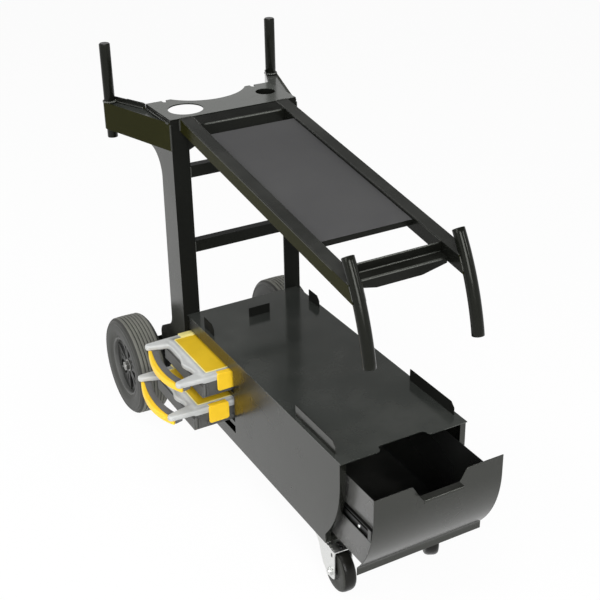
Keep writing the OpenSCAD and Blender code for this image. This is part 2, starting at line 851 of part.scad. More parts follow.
module caster_at(s) {
  translate([s * pad_x, pad_y, 0]) children();
}

// Frame that swivels about a kingpin
module swivel_at(s) {
  caster_at(s) rotate([0, 0, s < 0 ? swivel_left : swivel_right]) children();
}

// Caster plate under the bottom plate, with its race and the kingpin
module caster_plate(s) {
  color(zinc) place() caster_at(s) {
    translate([-pad_w / 2, -pad_w / 2, floor_z - pad_t]) cube([pad_w, pad_w, pad_t]);
    translate([0, 0, race_z]) cylinder(r = race_r, h = floor_z - pad_t - race_z + eps);
    translate([0, 0, crown_z - 1.5]) cylinder(r = pin_r, h = floor_z - pad_t - crown_z + 2);
  }
}
module caster_plate_left() { caster_plate(-1); }
module caster_plate_right() { caster_plate(1); }

module fork_2d() {
  b = pin_r + 7;
  front = -trail - 15;
  rear = 22;
  hub = [-trail, caster_r];
  polygon([[front, crown_z + fork_t], [front, crown_z], tangent([front, crown_z], hub, b, -1), hub,
    tangent([rear, crown_z - 8], hub, b, 1), [rear, crown_z - 8], [rear, crown_z + fork_t]]);
  translate(hub) circle(b);
}

module caster_fork(s) {
  front = -trail - 15;
  rear = 22;
  color(zinc) place() swivel_at(s) difference() {
    union() {
      for (x = [-fork_w / 2, fork_w / 2 - fork_t]) yz(x, fork_t) fork_2d();
      translate([-fork_in / 2 - eps, front, crown_z]) cube([fork_in + 2 * eps, rear - front, fork_t]);
      translate([0, 0, crown_z + fork_t - eps]) cylinder(r = 20, h = 2.6);
    }
    translate([0, 0, crown_z - 1]) cylinder(r = pin_r + run_gap, h = fork_t + 6);
    translate([-fork_w, -trail, caster_r]) rotate([0, 90, 0]) cylinder(r = pin_r, h = 2 * fork_w);
  }
}
module caster_fork_left() { caster_fork(-1); }
module caster_fork_right() { caster_fork(1); }

module caster_wheel(s) {
  a = caster_w / 2;
  web = a * 0.73;
  hub = fork_in / 2 - 0.5;
  color(rubber) place() swivel_at(s) translate([0, -trail, caster_r]) rotate([0, 90, 0])
    rotate_extrude($fn = 120) polygon(both([[pin_r + run_gap, hub], [pin_r * 2, hub], [pin_r * 2.5, web],
      [0.64 * caster_r, web], [0.68 * caster_r, a], [0.82 * caster_r, a], [0.94 * caster_r, web],
      [caster_r, a / 3]]));
}
module caster_wheel_left() { caster_wheel(-1); }
module caster_wheel_right() { caster_wheel(1); }

module caster_axle(s) {
  h = fork_w / 2;
  color(zinc) place() swivel_at(s) translate([0, -trail, caster_r]) rotate([0, 90, 0]) {
    translate([0, 0, -h]) cylinder(r = pin_r, h = 2 * h);
    for (z = [-h - 5, h]) translate([0, 0, z]) cylinder(r = pin_r * 1.6, h = 5, $fn = 6);
  }
}
module caster_axle_left() { caster_axle(-1); }
module caster_axle_right() { caster_axle(1); }

// Frame of a case: outer end at zero, its length to the right, its middle at zero depth
module case_at(x, z) {
  translate([-x, -case_y, z]) children();
}

module case_body(x, z) {
  w = case_w - 4;
  t = 2.5;
  gap = 0.3;
  color(dark) place() case_at(x, z) {
    difference() {
      translate([0, -w / 2, 0]) cube([case_l, w, seam_h]);
      translate([t, -w / 2 + t, t]) cube([case_l - 2 * t, w - 2 * t, seam_h]);
    }
    for (s = [-1, 1]) for (k = [0 : 9]) translate([10 + k * (case_l - 24) / 9, s * (w / 2 + 1) - 1 - eps, 4])
      if (s > 0 || (k != 1 && k != 8)) cube([4, 2 + eps, seam_h - 8]);
    for (u = [latch_u, case_l - latch_u - latch_w]) for (e = [-4 - gap, latch_w + gap])
      translate([u + e, latch_y - 2, latch_z - 3]) cube([4, -latch_y + 2 - w / 2 + eps, 6]);
  }
}

// Plan of a bar that follows the curve of the grip
module grip_2d(r, t) {
  intersection() {
    difference() {
      translate([grip_cx, 0]) circle(r, $fn = 360);
      translate([grip_cx, 0]) circle(r - t, $fn = 360);
    }
    translate([-grip_out - 1, -case_w / 2 + 6]) square([grip_out, case_w - 12]);
  }
}

// Plan of one arm of the handle, tapered to a round tip
module arm_2d() {
  r = arm_w * 0.3;
  y = case_w / 2 - 5;
  tip = [r - arm_l, y - 3 - r];
  polygon([[eps, y], tip + [0, r], tip - [0, r], [-arm_l / 3, y - arm_w], [eps, y - arm_w - r]]);
  translate(tip) circle(r);
}

// Grey lid frame with the arms of the handle and the bar behind the grip
module case_frame(x, z) {
  t = 6;
  w = case_w;
  color(grey) place() case_at(x, z) {
    difference() {
      translate([0, -w / 2, seam_h]) linear_extrude(case_h - seam_h) rrect(case_l, w, 10);
      translate([t, -w / 2 + t, seam_h - 1]) cube([case_l - 2 * t, w - 2 * t, case_h - seam_h - 5]);
      translate([lid_end, lid_side - w / 2, seam_h]) cube([case_l - 2 * lid_end, w - 2 * lid_side, case_h]);
    }
    for (s = [-1, 1]) scale([1, s, 1]) translate([0, 0, arm_z]) linear_extrude(case_h - arm_z - 1) arm_2d();
    translate([0, 0, arm_z - grip_h]) linear_extrude(grip_h + eps) grip_2d(grip_r - grip_t, back_t);
  }
}

module case_lid(x, z) {
  color(yellow) place() case_at(x, z) translate([lid_end, lid_side - case_w / 2, case_h - lid_t])
    cube([case_l - 2 * lid_end, case_w - 2 * lid_side, lid_t]);
}

module case_grip(x, z) {
  color(yellow) place() case_at(x, z) translate([0, 0, arm_z - grip_h]) linear_extrude(grip_h)
    grip_2d(grip_r, grip_t);
}

// Latch on the front side of a case, turning on its lower edge
module case_latch(x, z, u) {
  top = case_h + 0.5;
  color(yellow) place() case_at(x, z) translate([u, latch_y, 0]) {
    translate([0, -latch_t / 2, latch_z]) cube([latch_w, latch_t, top + 2.2 - latch_z]);
    translate([0, latch_t / 2 - eps, top]) cube([latch_w, 4.5, 2.2]);
    translate([0, 0, latch_z]) rotate([0, 90, 0]) cylinder(r = latch_t / 2, h = latch_w, $fn = 48);
  }
}

module case_upper_body() { case_body(case_up_x, shelf_up); }
module case_upper_frame() { case_frame(case_up_x, shelf_up); }
module case_upper_lid() { case_lid(case_up_x, shelf_up); }
module case_upper_grip() { case_grip(case_up_x, shelf_up); }
module case_upper_latch_outer() { case_latch(case_up_x, shelf_up, latch_u); }
module case_upper_latch_inner() { case_latch(case_up_x, shelf_up, case_l - latch_u - latch_w); }
module case_lower_body() { case_body(case_lo_x, shelf_lo); }
module case_lower_frame() { case_frame(case_lo_x, shelf_lo); }
module case_lower_lid() { case_lid(case_lo_x, shelf_lo); }
module case_lower_grip() { case_grip(case_lo_x, shelf_lo); }
module case_lower_latch_outer() { case_latch(case_lo_x, shelf_lo, latch_u); }
module case_lower_latch_inner() { case_latch(case_lo_x, shelf_lo, case_l - latch_u - latch_w); }

base_deck();
side_panel_left();
side_panel_right();
rear_panel();
bottom_plate();
bay_partition();
case_shelf_lower();
case_shelf_upper();
upright_left();
upright_right();
crossbar_upper();
crossbar_lower();
yoke_plate();
yoke_apron();
ear_left();
ear_right();
ear_web_left();
ear_web_right();
handle_post_left();
handle_post_right();
tray_rail_left();
tray_rail_right();
tray_cross_tube();
tray_panel();
front_trough();
cable_horn_left();
cable_horn_right();
cylinder_platform();
rear_axle();
axle_nuts();
slide_channel_left();
slide_channel_right();
caster_plate_left();
caster_plate_right();
tyre_left();
tyre_right();
rim_left();
rim_right();
caster_fork_left();
caster_fork_right();
caster_wheel_left();
caster_wheel_right();
caster_axle_left();
caster_axle_right();
drawer_body();
drawer_front();
slide_runner_left();
slide_runner_right();
case_upper_body();
case_upper_frame();
case_upper_lid();
case_upper_grip();
case_upper_latch_outer();
case_upper_latch_inner();
case_lower_body();
case_lower_frame();
case_lower_lid();
case_lower_grip();
case_lower_latch_outer();
case_lower_latch_inner();
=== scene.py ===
"""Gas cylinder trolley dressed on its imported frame, with the small pieces that finish it."""
import json
from math import asin, atan2, cos, degrees, exp, hypot, pi, radians, sin, tan, tau

import bmesh
import bpy
from mathutils import Matrix, Vector
from mathutils.geometry import delaunay_2d_cdt


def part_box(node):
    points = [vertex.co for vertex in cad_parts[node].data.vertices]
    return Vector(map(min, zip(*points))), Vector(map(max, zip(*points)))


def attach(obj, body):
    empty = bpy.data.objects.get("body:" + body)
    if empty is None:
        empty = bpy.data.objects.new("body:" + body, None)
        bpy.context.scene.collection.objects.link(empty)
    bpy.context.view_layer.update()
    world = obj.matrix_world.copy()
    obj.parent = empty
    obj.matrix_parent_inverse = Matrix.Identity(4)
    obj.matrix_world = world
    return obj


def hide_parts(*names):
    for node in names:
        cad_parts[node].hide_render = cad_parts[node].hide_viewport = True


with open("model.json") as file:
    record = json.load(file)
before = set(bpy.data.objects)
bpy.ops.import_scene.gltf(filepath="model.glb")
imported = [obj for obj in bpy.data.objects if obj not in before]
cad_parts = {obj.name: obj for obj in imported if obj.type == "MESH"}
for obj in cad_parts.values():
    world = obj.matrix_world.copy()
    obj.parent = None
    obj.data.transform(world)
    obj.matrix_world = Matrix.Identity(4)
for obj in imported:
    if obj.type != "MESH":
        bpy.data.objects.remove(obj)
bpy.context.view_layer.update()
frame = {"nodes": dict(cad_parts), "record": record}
solids = frame["nodes"]
scene = bpy.context.scene

# The workshop drawing is in millimetres, the shared frame in metres
MM = 1000

# Mid plane and uprights' front face of the workshop drawing, from the part's origin
MID_X, MID_Y = -26.5, -261.0

# Both sides, with the sign of their distance from the mid plane
SIDES = (("left", -1.0), ("right", 1.0))


def at(x, y, z):
    """Point of the workshop drawing, in metres of the shared frame."""
    return Vector(((x - MID_X) / MM, (y - MID_Y) / MM, z / MM))


# Shader building


def put(tree, kind, inputs=None, **settings):
    """One shader node with its settings, its plain values and its wires."""
    n = tree.nodes.new(kind)
    for key, value in settings.items():
        setattr(n, key, value)
    for key, value in (inputs or {}).items():
        if isinstance(value, bpy.types.NodeSocket):
            tree.links.new(value, n.inputs[key])
        else:
            n.inputs[key].default_value = value
    return n


def effect(name, takes, gives):
    """Shader node group with its named inputs and outputs."""
    tree = bpy.data.node_groups.new(name, "ShaderNodeTree")
    for label, value in takes:
        socket = tree.interface.new_socket(label, in_out="INPUT", socket_type="NodeSocketFloat")
        socket.default_value = value
    for label in gives:
        tree.interface.new_socket(label, in_out="OUTPUT", socket_type="NodeSocketFloat")
    return tree, put(tree, "NodeGroupInput").outputs, put(tree, "NodeGroupOutput").inputs


def spread(tree, value, low, high, start=0.0, end=1.0):
    """Value between low and high, spread softly over start to end."""
    limits = {"Value": value, "From Min": low, "From Max": high, "To Min": start, "To Max": end}
    return put(tree, "ShaderNodeMapRange", limits, interpolation_type="SMOOTHSTEP").outputs["Result"]


def sums(tree, how, a, b):
    """Arithmetic of two values."""
    return put(tree, "ShaderNodeMath", {0: a, 1: b}, operation=how).outputs[0]


def times(tree, a, b):
    """Product of two values."""
    return sums(tree, "MULTIPLY", a, b)


def surface(tree):
    """Place on a piece's surface."""
    return put(tree, "ShaderNodeTexCoord").outputs["Object"]


def stretched(tree, scale, turn=(0.0, 0.0, 0.0)):
    """Place on a piece's surface, drawn out along its axes and turned."""
    drawn = {"Vector": surface(tree), "Scale": scale, "Rotation": turn}
    return put(tree, "ShaderNodeMapping", drawn).outputs[0]


def noise(tree, place, scale, detail, rough):
    """Cloudy pattern of that many clouds per metre."""
    form = {"Vector": place, "Scale": scale, "Detail": detail, "Roughness": rough}
    return put(tree, "ShaderNodeTexNoise", form).outputs["Fac"]


def sprayed_coat():
    """Powder coat's fine ripple, slow drift and pin specks."""
    tree, takes, gives = effect("sprayed_coat", [("Ripple per metre", 420.0), ("Drift per metre", 6.0)],
                                ["Ripple", "Drift", "Speck"])
    here = surface(tree)
    grit = put(tree, "ShaderNodeTexVoronoi", {"Vector": here, "Scale": 160.0, "Randomness": 1.0})
    tree.links.new(noise(tree, here, takes["Ripple per metre"], 2.0, 0.45), gives["Ripple"])
    tree.links.new(noise(tree, here, takes["Drift per metre"], 3.0, 0.55), gives["Drift"])
    tree.links.new(spread(tree, grit.outputs["Distance"], 0.02, 0.09, 1.0, 0.0), gives["Speck"])
    return tree


def shop_dust():
    """Thin dust on faces that look up, in soft patches."""
    tree, takes, gives = effect("shop_dust", [("Patch per metre", 9.0), ("Cover", 0.5)], ["Dust"])
    normal = put(tree, "ShaderNodeNewGeometry").outputs["Normal"]
    up = put(tree, "ShaderNodeSeparateXYZ", {0: normal}).outputs["Z"]
    patch = noise(tree, surface(tree), takes["Patch per metre"], 5.0, 0.6)
    lies = times(tree, spread(tree, up, 0.35, 0.95), spread(tree, patch, 0.38, 0.72))
    tree.links.new(times(tree, lies, takes["Cover"]), gives["Dust"])
    return tree


def rub_marks():
    """Fine scuffs drawn out along the trolley's length."""
    tree, takes, gives = effect("rub_marks", [("Marks per metre", 60.0), ("Share", 0.1)], ["Scuff"])
    drawn = stretched(tree, (1.0, 0.09, 0.8), (0.2, 0.1, 0.35))
    mark = noise(tree, drawn, takes["Marks per metre"], 3.0, 0.7)
    edge = sums(tree, "SUBTRACT", 0.78, takes["Share"])
    tree.links.new(spread(tree, sums(tree, "SUBTRACT", mark, edge), 0.0, 0.09), gives["Scuff"])
    return tree


def moulded_grain():
    """Fine leathery grain of a moulding tool, with slow tone drift."""
    tree, takes, gives = effect("moulded_grain", [("Grain per metre", 900.0)], ["Grain", "Drift"])
    here = surface(tree)
    cells = {"Vector": here, "Scale": takes["Grain per metre"], "Smoothness": 0.6}
    cell = put(tree, "ShaderNodeTexVoronoi", cells, feature="SMOOTH_F1")
    tree.links.new(cell.outputs["Distance"], gives["Grain"])
    tree.links.new(noise(tree, here, 14.0, 4.0, 0.6), gives["Drift"])
    return tree


COAT, DUST, RUB, GRAIN = sprayed_coat(), shop_dust(), rub_marks(), moulded_grain()


def place_effect(tree, group, **values):
    """One of the shared effects, with its own values."""
    n = put(tree, "ShaderNodeGroup", node_tree=group)
    for key, value in values.items():
        n.inputs[key.replace("_", " ")].default_value = value
    return n.outputs


def lay_over(tree, mask, under, over):
    """Colour laid over another one where the mask says."""
    mixed = {"Factor": mask, "A": under, "B": (*over, 1.0)}
    return put(tree, "ShaderNodeMix", mixed, data_type="RGBA").outputs["Result"]


def tone(tree, mask, dark, light):
    """Colour that runs from dark to light with a mask."""
    return lay_over(tree, mask, (*dark, 1.0), light)


def begin(name, **constant):
    """New material with its shader's plain values set."""
    m = bpy.data.materials.new(name)
    m.use_nodes = True
    shader = m.node_tree.nodes["Principled BSDF"]
    for key, value in constant.items():
        shader.inputs[key.replace("_", " ")].default_value = value
    return m, m.node_tree, shader


def bump(tree, shader, height, strength, distance):
    """Relief of a finish."""
    n = put(tree, "ShaderNodeBump", {"Height": height, "Strength": strength, "Distance": distance})
    tree.links.new(n.outputs["Normal"], shader.inputs["Normal"])


# Slight green cast of the black paint, the stronger one on the tubes, and none
CAST, TUBE_CAST, NO_CAST = (0.98, 1.0, 0.93), (0.97, 1.0, 0.80), (1.0, 1.0, 1.0)

# Tones of dust and scuffs on paint, and of dust on rubber
PAINT_DUST, PAINT_SCUFF, RUBBER_DUST = (0.10, 0.10, 0.092), (0.09, 0.09, 0.085), (0.16, 0.155, 0.14)


def powder_coat(name, dark, light, gloss, dull, ripple=0.12, dust=0.30, wear=0.02, shine=0.5, tint=CAST):
    """Powder coat: ripple, drift of gloss, dust on top, a few scuffs."""
    m, tree, shader = begin(name, IOR=1.55, Specular_IOR_Level=shine, Specular_Tint=(*tint, 1.0))
    coat = place_effect(tree, COAT)
    lies = place_effect(tree, DUST, Cover=dust)["Dust"]
    scuff = place_effect(tree, RUB, Share=wear)["Scuff"]
    base = lay_over(tree, lies, tone(tree, coat["Drift"], dark, light), PAINT_DUST)
    base = lay_over(tree, times(tree, scuff, 0.12), base, PAINT_SCUFF)
    tree.links.new(base, shader.inputs["Base Color"])
    sheen = spread(tree, coat["Drift"], 0.25, 0.75, gloss, dull)
    for mask, share in ((lies, 0.25), (coat["Speck"], 0.05), (scuff, 0.05)):
        sheen = sums(tree, "ADD", sheen, times(tree, mask, share))
    tree.links.new(sheen, shader.inputs["Roughness"])
    bump(tree, shader, coat["Ripple"], ripple, 0.0006)
    return m


def plated_steel(name, dark, light, gloss, dull):
    """Plated steel with rolling lines and dull patches."""
    m, tree, shader = begin(name, Metallic=1.0)
    lines = noise(tree, stretched(tree, (1.0, 1.0, 0.06)), 700.0, 3.0, 0.6)
    patch = place_effect(tree, COAT, Drift_per_metre=38.0)["Drift"]
    tree.links.new(tone(tree, patch, dark, light), shader.inputs["Base Color"])
    sheen = sums(tree, "ADD", spread(tree, patch, 0.3, 0.7, gloss, dull), times(tree, lines, 0.12))
    tree.links.new(sheen, shader.inputs["Roughness"])
    bump(tree, shader, lines, 0.12, 0.0003)
    return m


def rubber(name, dark, light, gloss, dull, grain=0.25, dust=0.35, shine=0.5):
    """Moulded rubber: fine grain, bloom in patches, dust on top."""
    m, tree, shader = begin(name, IOR=1.5, Specular_IOR_Level=shine)
    skin = place_effect(tree, GRAIN, Grain_per_metre=700.0)
    lies = place_effect(tree, DUST, Patch_per_metre=22.0, Cover=dust)["Dust"]
    base = tone(tree, spread(tree, skin["Drift"], 0.3, 0.7), dark, light)
    tree.links.new(lay_over(tree, lies, base, RUBBER_DUST), shader.inputs["Base Color"])
    tree.links.new(spread(tree, skin["Drift"], 0.3, 0.7, gloss, dull), shader.inputs["Roughness"])
    bump(tree, shader, skin["Grain"], grain, 0.0005)
    return m


def plastic(name, dark, light, gloss, dull, grain=0.12, wear=0.03, shine=0.5):
    """Moulded plastic: tool grain, slight tone drift, light scuffs."""
    m, tree, shader = begin(name, IOR=1.47, Specular_IOR_Level=shine)
    skin = place_effect(tree, GRAIN)
    scuff = place_effect(tree, RUB, Share=wear, Marks_per_metre=110.0)["Scuff"]
    base = tone(tree, spread(tree, skin["Drift"], 0.3, 0.7), dark, light)
    pale = tuple(min(1.0, c * 1.25 + 0.02) for c in light)
    tree.links.new(lay_over(tree, times(tree, scuff, 0.3), base, pale), shader.inputs["Base Color"])
    sheen = spread(tree, skin["Drift"], 0.3, 0.7, gloss, dull)
    sheen = sums(tree, "ADD", sheen, times(tree, scuff, 0.12))
    tree.links.new(sheen, shader.inputs["Roughness"])
    bump(tree, shader, skin["Grain"], grain, 0.0004)
    return m


# Finishes by the record's slots: dark and light tone, least and most roughness, then what differs
FINISH = {
    "black_paint": powder_coat(
        "black_powder_coat", (0.006, 0.0064, 0.0052), (0.01, 0.0106, 0.0088), 0.2, 0.3,
        ripple=0.1, dust=0.16, wear=0.0),
    "matt_panel": powder_coat(
        "matt_tray_coat", (0.041, 0.041, 0.042), (0.051, 0.051, 0.052), 0.55, 0.68,
        ripple=0.2, dust=0.06, wear=0.03, tint=NO_CAST),
    "drawer_paint": powder_coat(
        "drawer_coat", (0.008, 0.0085, 0.008), (0.013, 0.0135, 0.013), 0.22, 0.34, ripple=0.1),
    "zinc_steel": plated_steel("bright_zinc", (0.66, 0.67, 0.66), (0.84, 0.84, 0.82), 0.2, 0.32),
    "slide_steel": plated_steel("black_plate", (0.018, 0.018, 0.018), (0.034, 0.034, 0.032), 0.28, 0.4),
    "tyre_rubber": rubber(
        "tyre_rubber", (0.042, 0.043, 0.039), (0.06, 0.061, 0.056), 0.5, 0.66, shine=0.35),
    "wheel_rim": plastic("rim_plastic", (0.022, 0.023, 0.021), (0.036, 0.037, 0.034), 0.34, 0.48),
    "caster_rubber": rubber(
        "caster_rubber", (0.004, 0.004, 0.0032), (0.009, 0.009, 0.0074), 0.24, 0.36,
        grain=0.12, dust=0.05, shine=0.18),
    "case_dark": plastic(
        "dark_case_plastic", (0.072, 0.073, 0.07), (0.096, 0.097, 0.092), 0.46, 0.6, grain=0.18),
    "case_grey": plastic(
        "grey_case_plastic", (0.45, 0.46, 0.45), (0.52, 0.53, 0.52), 0.4, 0.52, grain=0.14),
    "case_yellow": plastic(
        "yellow_case_plastic", (0.9, 0.57, 0.026), (0.97, 0.63, 0.036), 0.34, 0.46, grain=0.06, shine=0.28),
}

# Finishes of single pieces and faces, given in the same way
TREAD = rubber(
    "tread_rubber", (0.128, 0.129, 0.11), (0.175, 0.176, 0.152), 0.62, 0.8, grain=0.3, dust=0.4)
# Darker rubber of the tread's grooves: painted shade
GROOVE_SHADE_RUBBER = rubber(
    "groove_painted_shade_rubber", (0.024, 0.024, 0.021), (0.036, 0.036, 0.032), 0.7, 0.85, grain=0.3, dust=0.1)
# Lighter rubber of the caster tyres' flanks: painted light
LIT_FLANK_RUBBER = rubber(
    "caster_flank_painted_light_rubber", (0.028, 0.029, 0.025), (0.04, 0.041, 0.036), 0.4, 0.55,
    grain=0.15, dust=0.08, shine=0.2)
TUBE = powder_coat(
    "satin_tube_coat", (0.0135, 0.0136, 0.0034), (0.0195, 0.0196, 0.0056), 0.18, 0.28,
    dust=0.06, wear=0.0, shine=0.022, tint=TUBE_CAST)
BAR = powder_coat(
    "black_tube_coat", (0.0046, 0.005, 0.004), (0.0075, 0.008, 0.0066), 0.2, 0.3,
    dust=0.08, shine=0.07)
# Lighter coat of the folds and the post beads: partly wear, partly painted highlight
FOLD_HIGHLIGHT_COAT = powder_coat(
    "worn_fold_highlight_coat", (0.03, 0.032, 0.028), (0.062, 0.065, 0.058), 0.18, 0.28,
    dust=0.05, wear=0.08, shine=0.6)
# Lighter coat of the rails' tops: painted reflection
RAIL_TOP_REFLECTION_COAT = powder_coat(
    "rail_top_painted_reflection", (0.012, 0.0126, 0.011), (0.019, 0.0198, 0.0178), 0.22, 0.32,
    dust=0.12, shine=0.35)
LIP = powder_coat(
    "lip_coat", (0.006, 0.0064, 0.0056), (0.0095, 0.01, 0.0088), 0.5, 0.62,
    dust=0.06, wear=0.01, shine=0.03)
# Lighter coat of the yoke's top and of the right ear's web and inner faces: painted reflection
YOKE_REFLECTION_COAT = powder_coat(
    "yoke_top_painted_reflection", (0.062, 0.066, 0.06), (0.086, 0.091, 0.084), 0.14, 0.2,
    ripple=0.06, dust=0.24, wear=0.0)
# Lighter coat of the deck and of the left ear's web and inner faces: painted reflection
DECK_REFLECTION_COAT = powder_coat(
    "deck_painted_reflection_coat", (0.026, 0.029, 0.026), (0.036, 0.039, 0.036), 0.12, 0.18,
    ripple=0.05, dust=0.16, wear=0.0, shine=0.6)
# Lighter coat of the drawer's outer side walls: painted reflection
DRAWER_SIDE_REFLECTION_COAT = powder_coat(
    "drawer_side_painted_reflection", (0.066, 0.066, 0.063), (0.086, 0.086, 0.082), 0.22, 0.32,
    ripple=0.1, dust=0.05, wear=0.01, shine=0.6, tint=NO_CAST)
HORN = powder_coat(
    "horn_coat", (0.0046, 0.005, 0.0038), (0.0076, 0.0082, 0.0064), 0.14, 0.22,
    dust=0.06, wear=0.0, shine=0.13)
# Darker yellow of the lids: painted shade
SHADED_LID_PLASTIC = plastic(
    "yellow_lid_painted_shade", (0.68, 0.44, 0.016), (0.76, 0.5, 0.022), 0.36, 0.5,
    grain=0.06, wear=0.02, shine=0.25)
GRIP_BAR = plastic(
    "grip_bar_plastic", (0.105, 0.105, 0.108), (0.135, 0.135, 0.138), 0.46, 0.6, grain=0.18)
NUT = plated_steel("dull_zinc", (0.26, 0.26, 0.25), (0.42, 0.42, 0.4), 0.3, 0.45)
# Pale yellow of the lids' edges and the hinge tabs: painted highlight
LID_EDGE_HIGHLIGHT = plastic(
    "pale_lid_edge_highlight", (0.8, 0.7, 0.24), (0.88, 0.78, 0.32), 0.4, 0.5, grain=0.05, wear=0.02, shine=0.3)

# Solids whose finish isn't their slot's
# Among them, the deck's and the yoke's lighter coats are painted reflection and the lids' darker yellow is
# painted shade
SPECIAL = {
    "base_deck": DECK_REFLECTION_COAT, "yoke_plate": YOKE_REFLECTION_COAT, "axle_nuts": NUT, "rear_axle": NUT, "ear": TUBE, "ear_web": TUBE,
    "tray_rail": TUBE, "tray_cross_tube": BAR, "crossbar_upper": BAR, "crossbar_lower": BAR,
    "yoke_apron": BAR, "front_trough": BAR, "cable_horn": HORN, "handle_post": HORN,
    "case_upper_lid": SHADED_LID_PLASTIC, "case_lower_lid": SHADED_LID_PLASTIC,
}

# Edge rounding of the solids, in millimetres
ROUND = {"black_paint": 0.9, "matt_panel": 0.7, "drawer_paint": 0.5, "zinc_steel": 0.6, "slide_steel": 0.5,
         "tyre_rubber": 1.6, "wheel_rim": 1.2, "caster_rubber": 1.2, "case_dark": 0.8, "case_grey": 2.2,
         "case_yellow": 1.4}

# Rounder edges of the square tubes: millimetres and steps
TUBE_ROUND = dict.fromkeys(("tray_rail", "tray_cross_tube", "crossbar_upper", "crossbar_lower"), (0.95, 3))


def second_finish(name, finish, chosen):
    """Gives another finish to the faces of a solid that a test picks by centre and normal."""
    mesh = solids[name].data
    mesh.materials.append(finish)
    index = len(mesh.materials) - 1
    for face in mesh.polygons:
        if chosen(face.center, face.normal):
            face.material_index = index


def soften(piece, width, segments=2, angle=32.0, flat=False):
    """Rounds a piece's sharp edges by some millimetres, its flat faces joined first if asked."""
    weld = piece.modifiers.new("join_edges", "WELD")
    weld.merge_threshold = 1e-6
    if flat:
        join = piece.modifiers.new("join_flat_faces", "DECIMATE")
        join.decimate_type, join.angle_limit, join.delimit = "DISSOLVE", radians(0.2), {"MATERIAL"}
    bev = piece.modifiers.new("rounded_edges", "BEVEL")
    bev.width, bev.segments = width / MM, segments
    bev.limit_method, bev.angle_limit = "ANGLE", radians(angle)
    bev.harden_normals, bev.miter_outer = True, "MITER_ARC"


def dress_solids():
    """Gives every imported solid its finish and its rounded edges."""
    slot_of = {row["node"]: row["material_slot"] for row in frame["record"]["subparts"]}
    for name, piece in solids.items():
        piece.data.materials.clear()
        slot = slot_of[name]
        kind = name.removesuffix("_left").removesuffix("_right")
        piece.data.materials.append(SPECIAL.get(kind, FINISH[slot]))
        soften(piece, *TUBE_ROUND.get(kind, (ROUND[slot], 2)), flat="panel" in kind)
    lips_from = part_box("bay_partition")[1][2] + 0.004
    left, right = (corner[0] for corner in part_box("drawer_body"))
    second_finish("base_deck", LIP, lambda c, n: c.z > lips_from)
    second_finish("base_deck", FINISH["black_paint"],
                  lambda c, n: c.z > lips_from and c.x < -0.08 and c.y < 0.0)
    # The yoke's lighter coat, painted reflection, stays only on its faces that look up; the rest take the
    # darker tube coat
    second_finish("yoke_plate", BAR, lambda c, n: n.z < 0.5)
    # The drawer's outer side walls take a lighter coat: painted reflection
    second_finish("drawer_body", DRAWER_SIDE_REFLECTION_COAT, lambda c, n: min(c.x - left, right - c.x) < 0.0005)
    second_finish("tray_panel", BAR, lambda c, n: n.z < 0.5)
    # The ears' webs and inner faces take a lighter coat, another one on each side, and the rails' tops a
    # lighter coat: painted reflection. The rails' inner faces take the darker tube coat: painted shade
    for (side, s), web in zip(SIDES, (DECK_REFLECTION_COAT, YOKE_REFLECTION_COAT)):
        second_finish("upright_" + side, LIP, lambda c, n: n.y < -0.5)
        second_finish("tray_rail_" + side, RAIL_TOP_REFLECTION_COAT, lambda c, n: n.z > 0.9)
        second_finish("tray_rail_" + side, BAR, lambda c, n, s=s: n.x * s < -0.5)
        second_finish("ear_" + side, web, lambda c, n, s=s: n.x * s < -0.5)
        second_finish("ear_web_" + side, web, lambda c, n: n.z > 0.5)


# Mesh building


def dress(piece, body, slot, width=0.0, segments=2, angle=32.0, finish=None):
    """Finishes a new piece, rounds its edges and fixes it to a body of the frame."""
    scene.collection.objects.link(piece)
    piece.data.materials.append(finish or FINISH[slot])
    for face in piece.data.polygons:
        face.use_smooth = True
    if width:
        soften(piece, width, segments, angle)
    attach(piece, body)
    return piece


def new_piece(name, verts, faces):
    """Object from points and faces, with doubled points joined and faces turned outwards."""
    mesh = bpy.data.meshes.new(name)
    mesh.from_pydata([tuple(v) for v in verts], [], faces)
    work = bmesh.new()
    work.from_mesh(mesh)
    bmesh.ops.remove_doubles(work, verts=work.verts, dist=1e-7)
    bmesh.ops.recalc_face_normals(work, faces=work.faces)
    work.to_mesh(mesh)
    work.free()
    return bpy.data.objects.new(name, mesh)


def merged(name, parts):
    """One piece made of several."""
    work = bmesh.new()
    for part in parts:
        work.from_mesh(part.data)
        spare = part.data
        bpy.data.objects.remove(part)
        bpy.data.meshes.remove(spare)
    mesh = bpy.data.meshes.new(name)
    work.to_mesh(mesh)
    work.free()
    return bpy.data.objects.new(name, mesh)


def bands(rows, size, around=True, along=False, first=0):
    """Faces between rows of points: around closes each row, along joins the last row to the first."""
    faces = []
    for k in range(rows if along else rows - 1):
        a, b = first + k * size, first + (k + 1) % rows * size
        faces += [(a + i, a + (i + 1) % size, b + (i + 1) % size, b + i)
                  for i in range(size if around else size - 1)]
    return faces


def turned(name, outline, hub, axis, steps=96, closed=False):
    """Piece turned about an axis: the outline gives radius and distance along it, in millimetres."""
    axis = Vector(axis).normalized()
    side = axis.orthogonal().normalized()
    up = axis.cross(side)
    verts = []
    for k in range(steps):
        turn = tau * k / steps
        out = side * cos(turn) + up * sin(turn)
        verts += [hub + (out * r + axis * d) / MM for r, d in outline]
    return new_piece(name, verts, bands(steps, len(outline), around=closed, along=True))


def prism(name, outline, low, high, place):
    """Piece of constant section: an outline between two levels, put in place by a function."""
    n = len(outline)
    verts = [place(u, v, low) for u, v in outline] + [place(u, v, high) for u, v in outline]
    faces = [tuple(range(n - 1, -1, -1)), tuple(range(n, 2 * n))]
    return new_piece(name, verts, faces + bands(2, n))


# Points per ripple of a bead, and a direction that no bead runs along
RIPPLE_POINTS, ASKEW = 6, Vector((0.31, 0.17, 0.93))


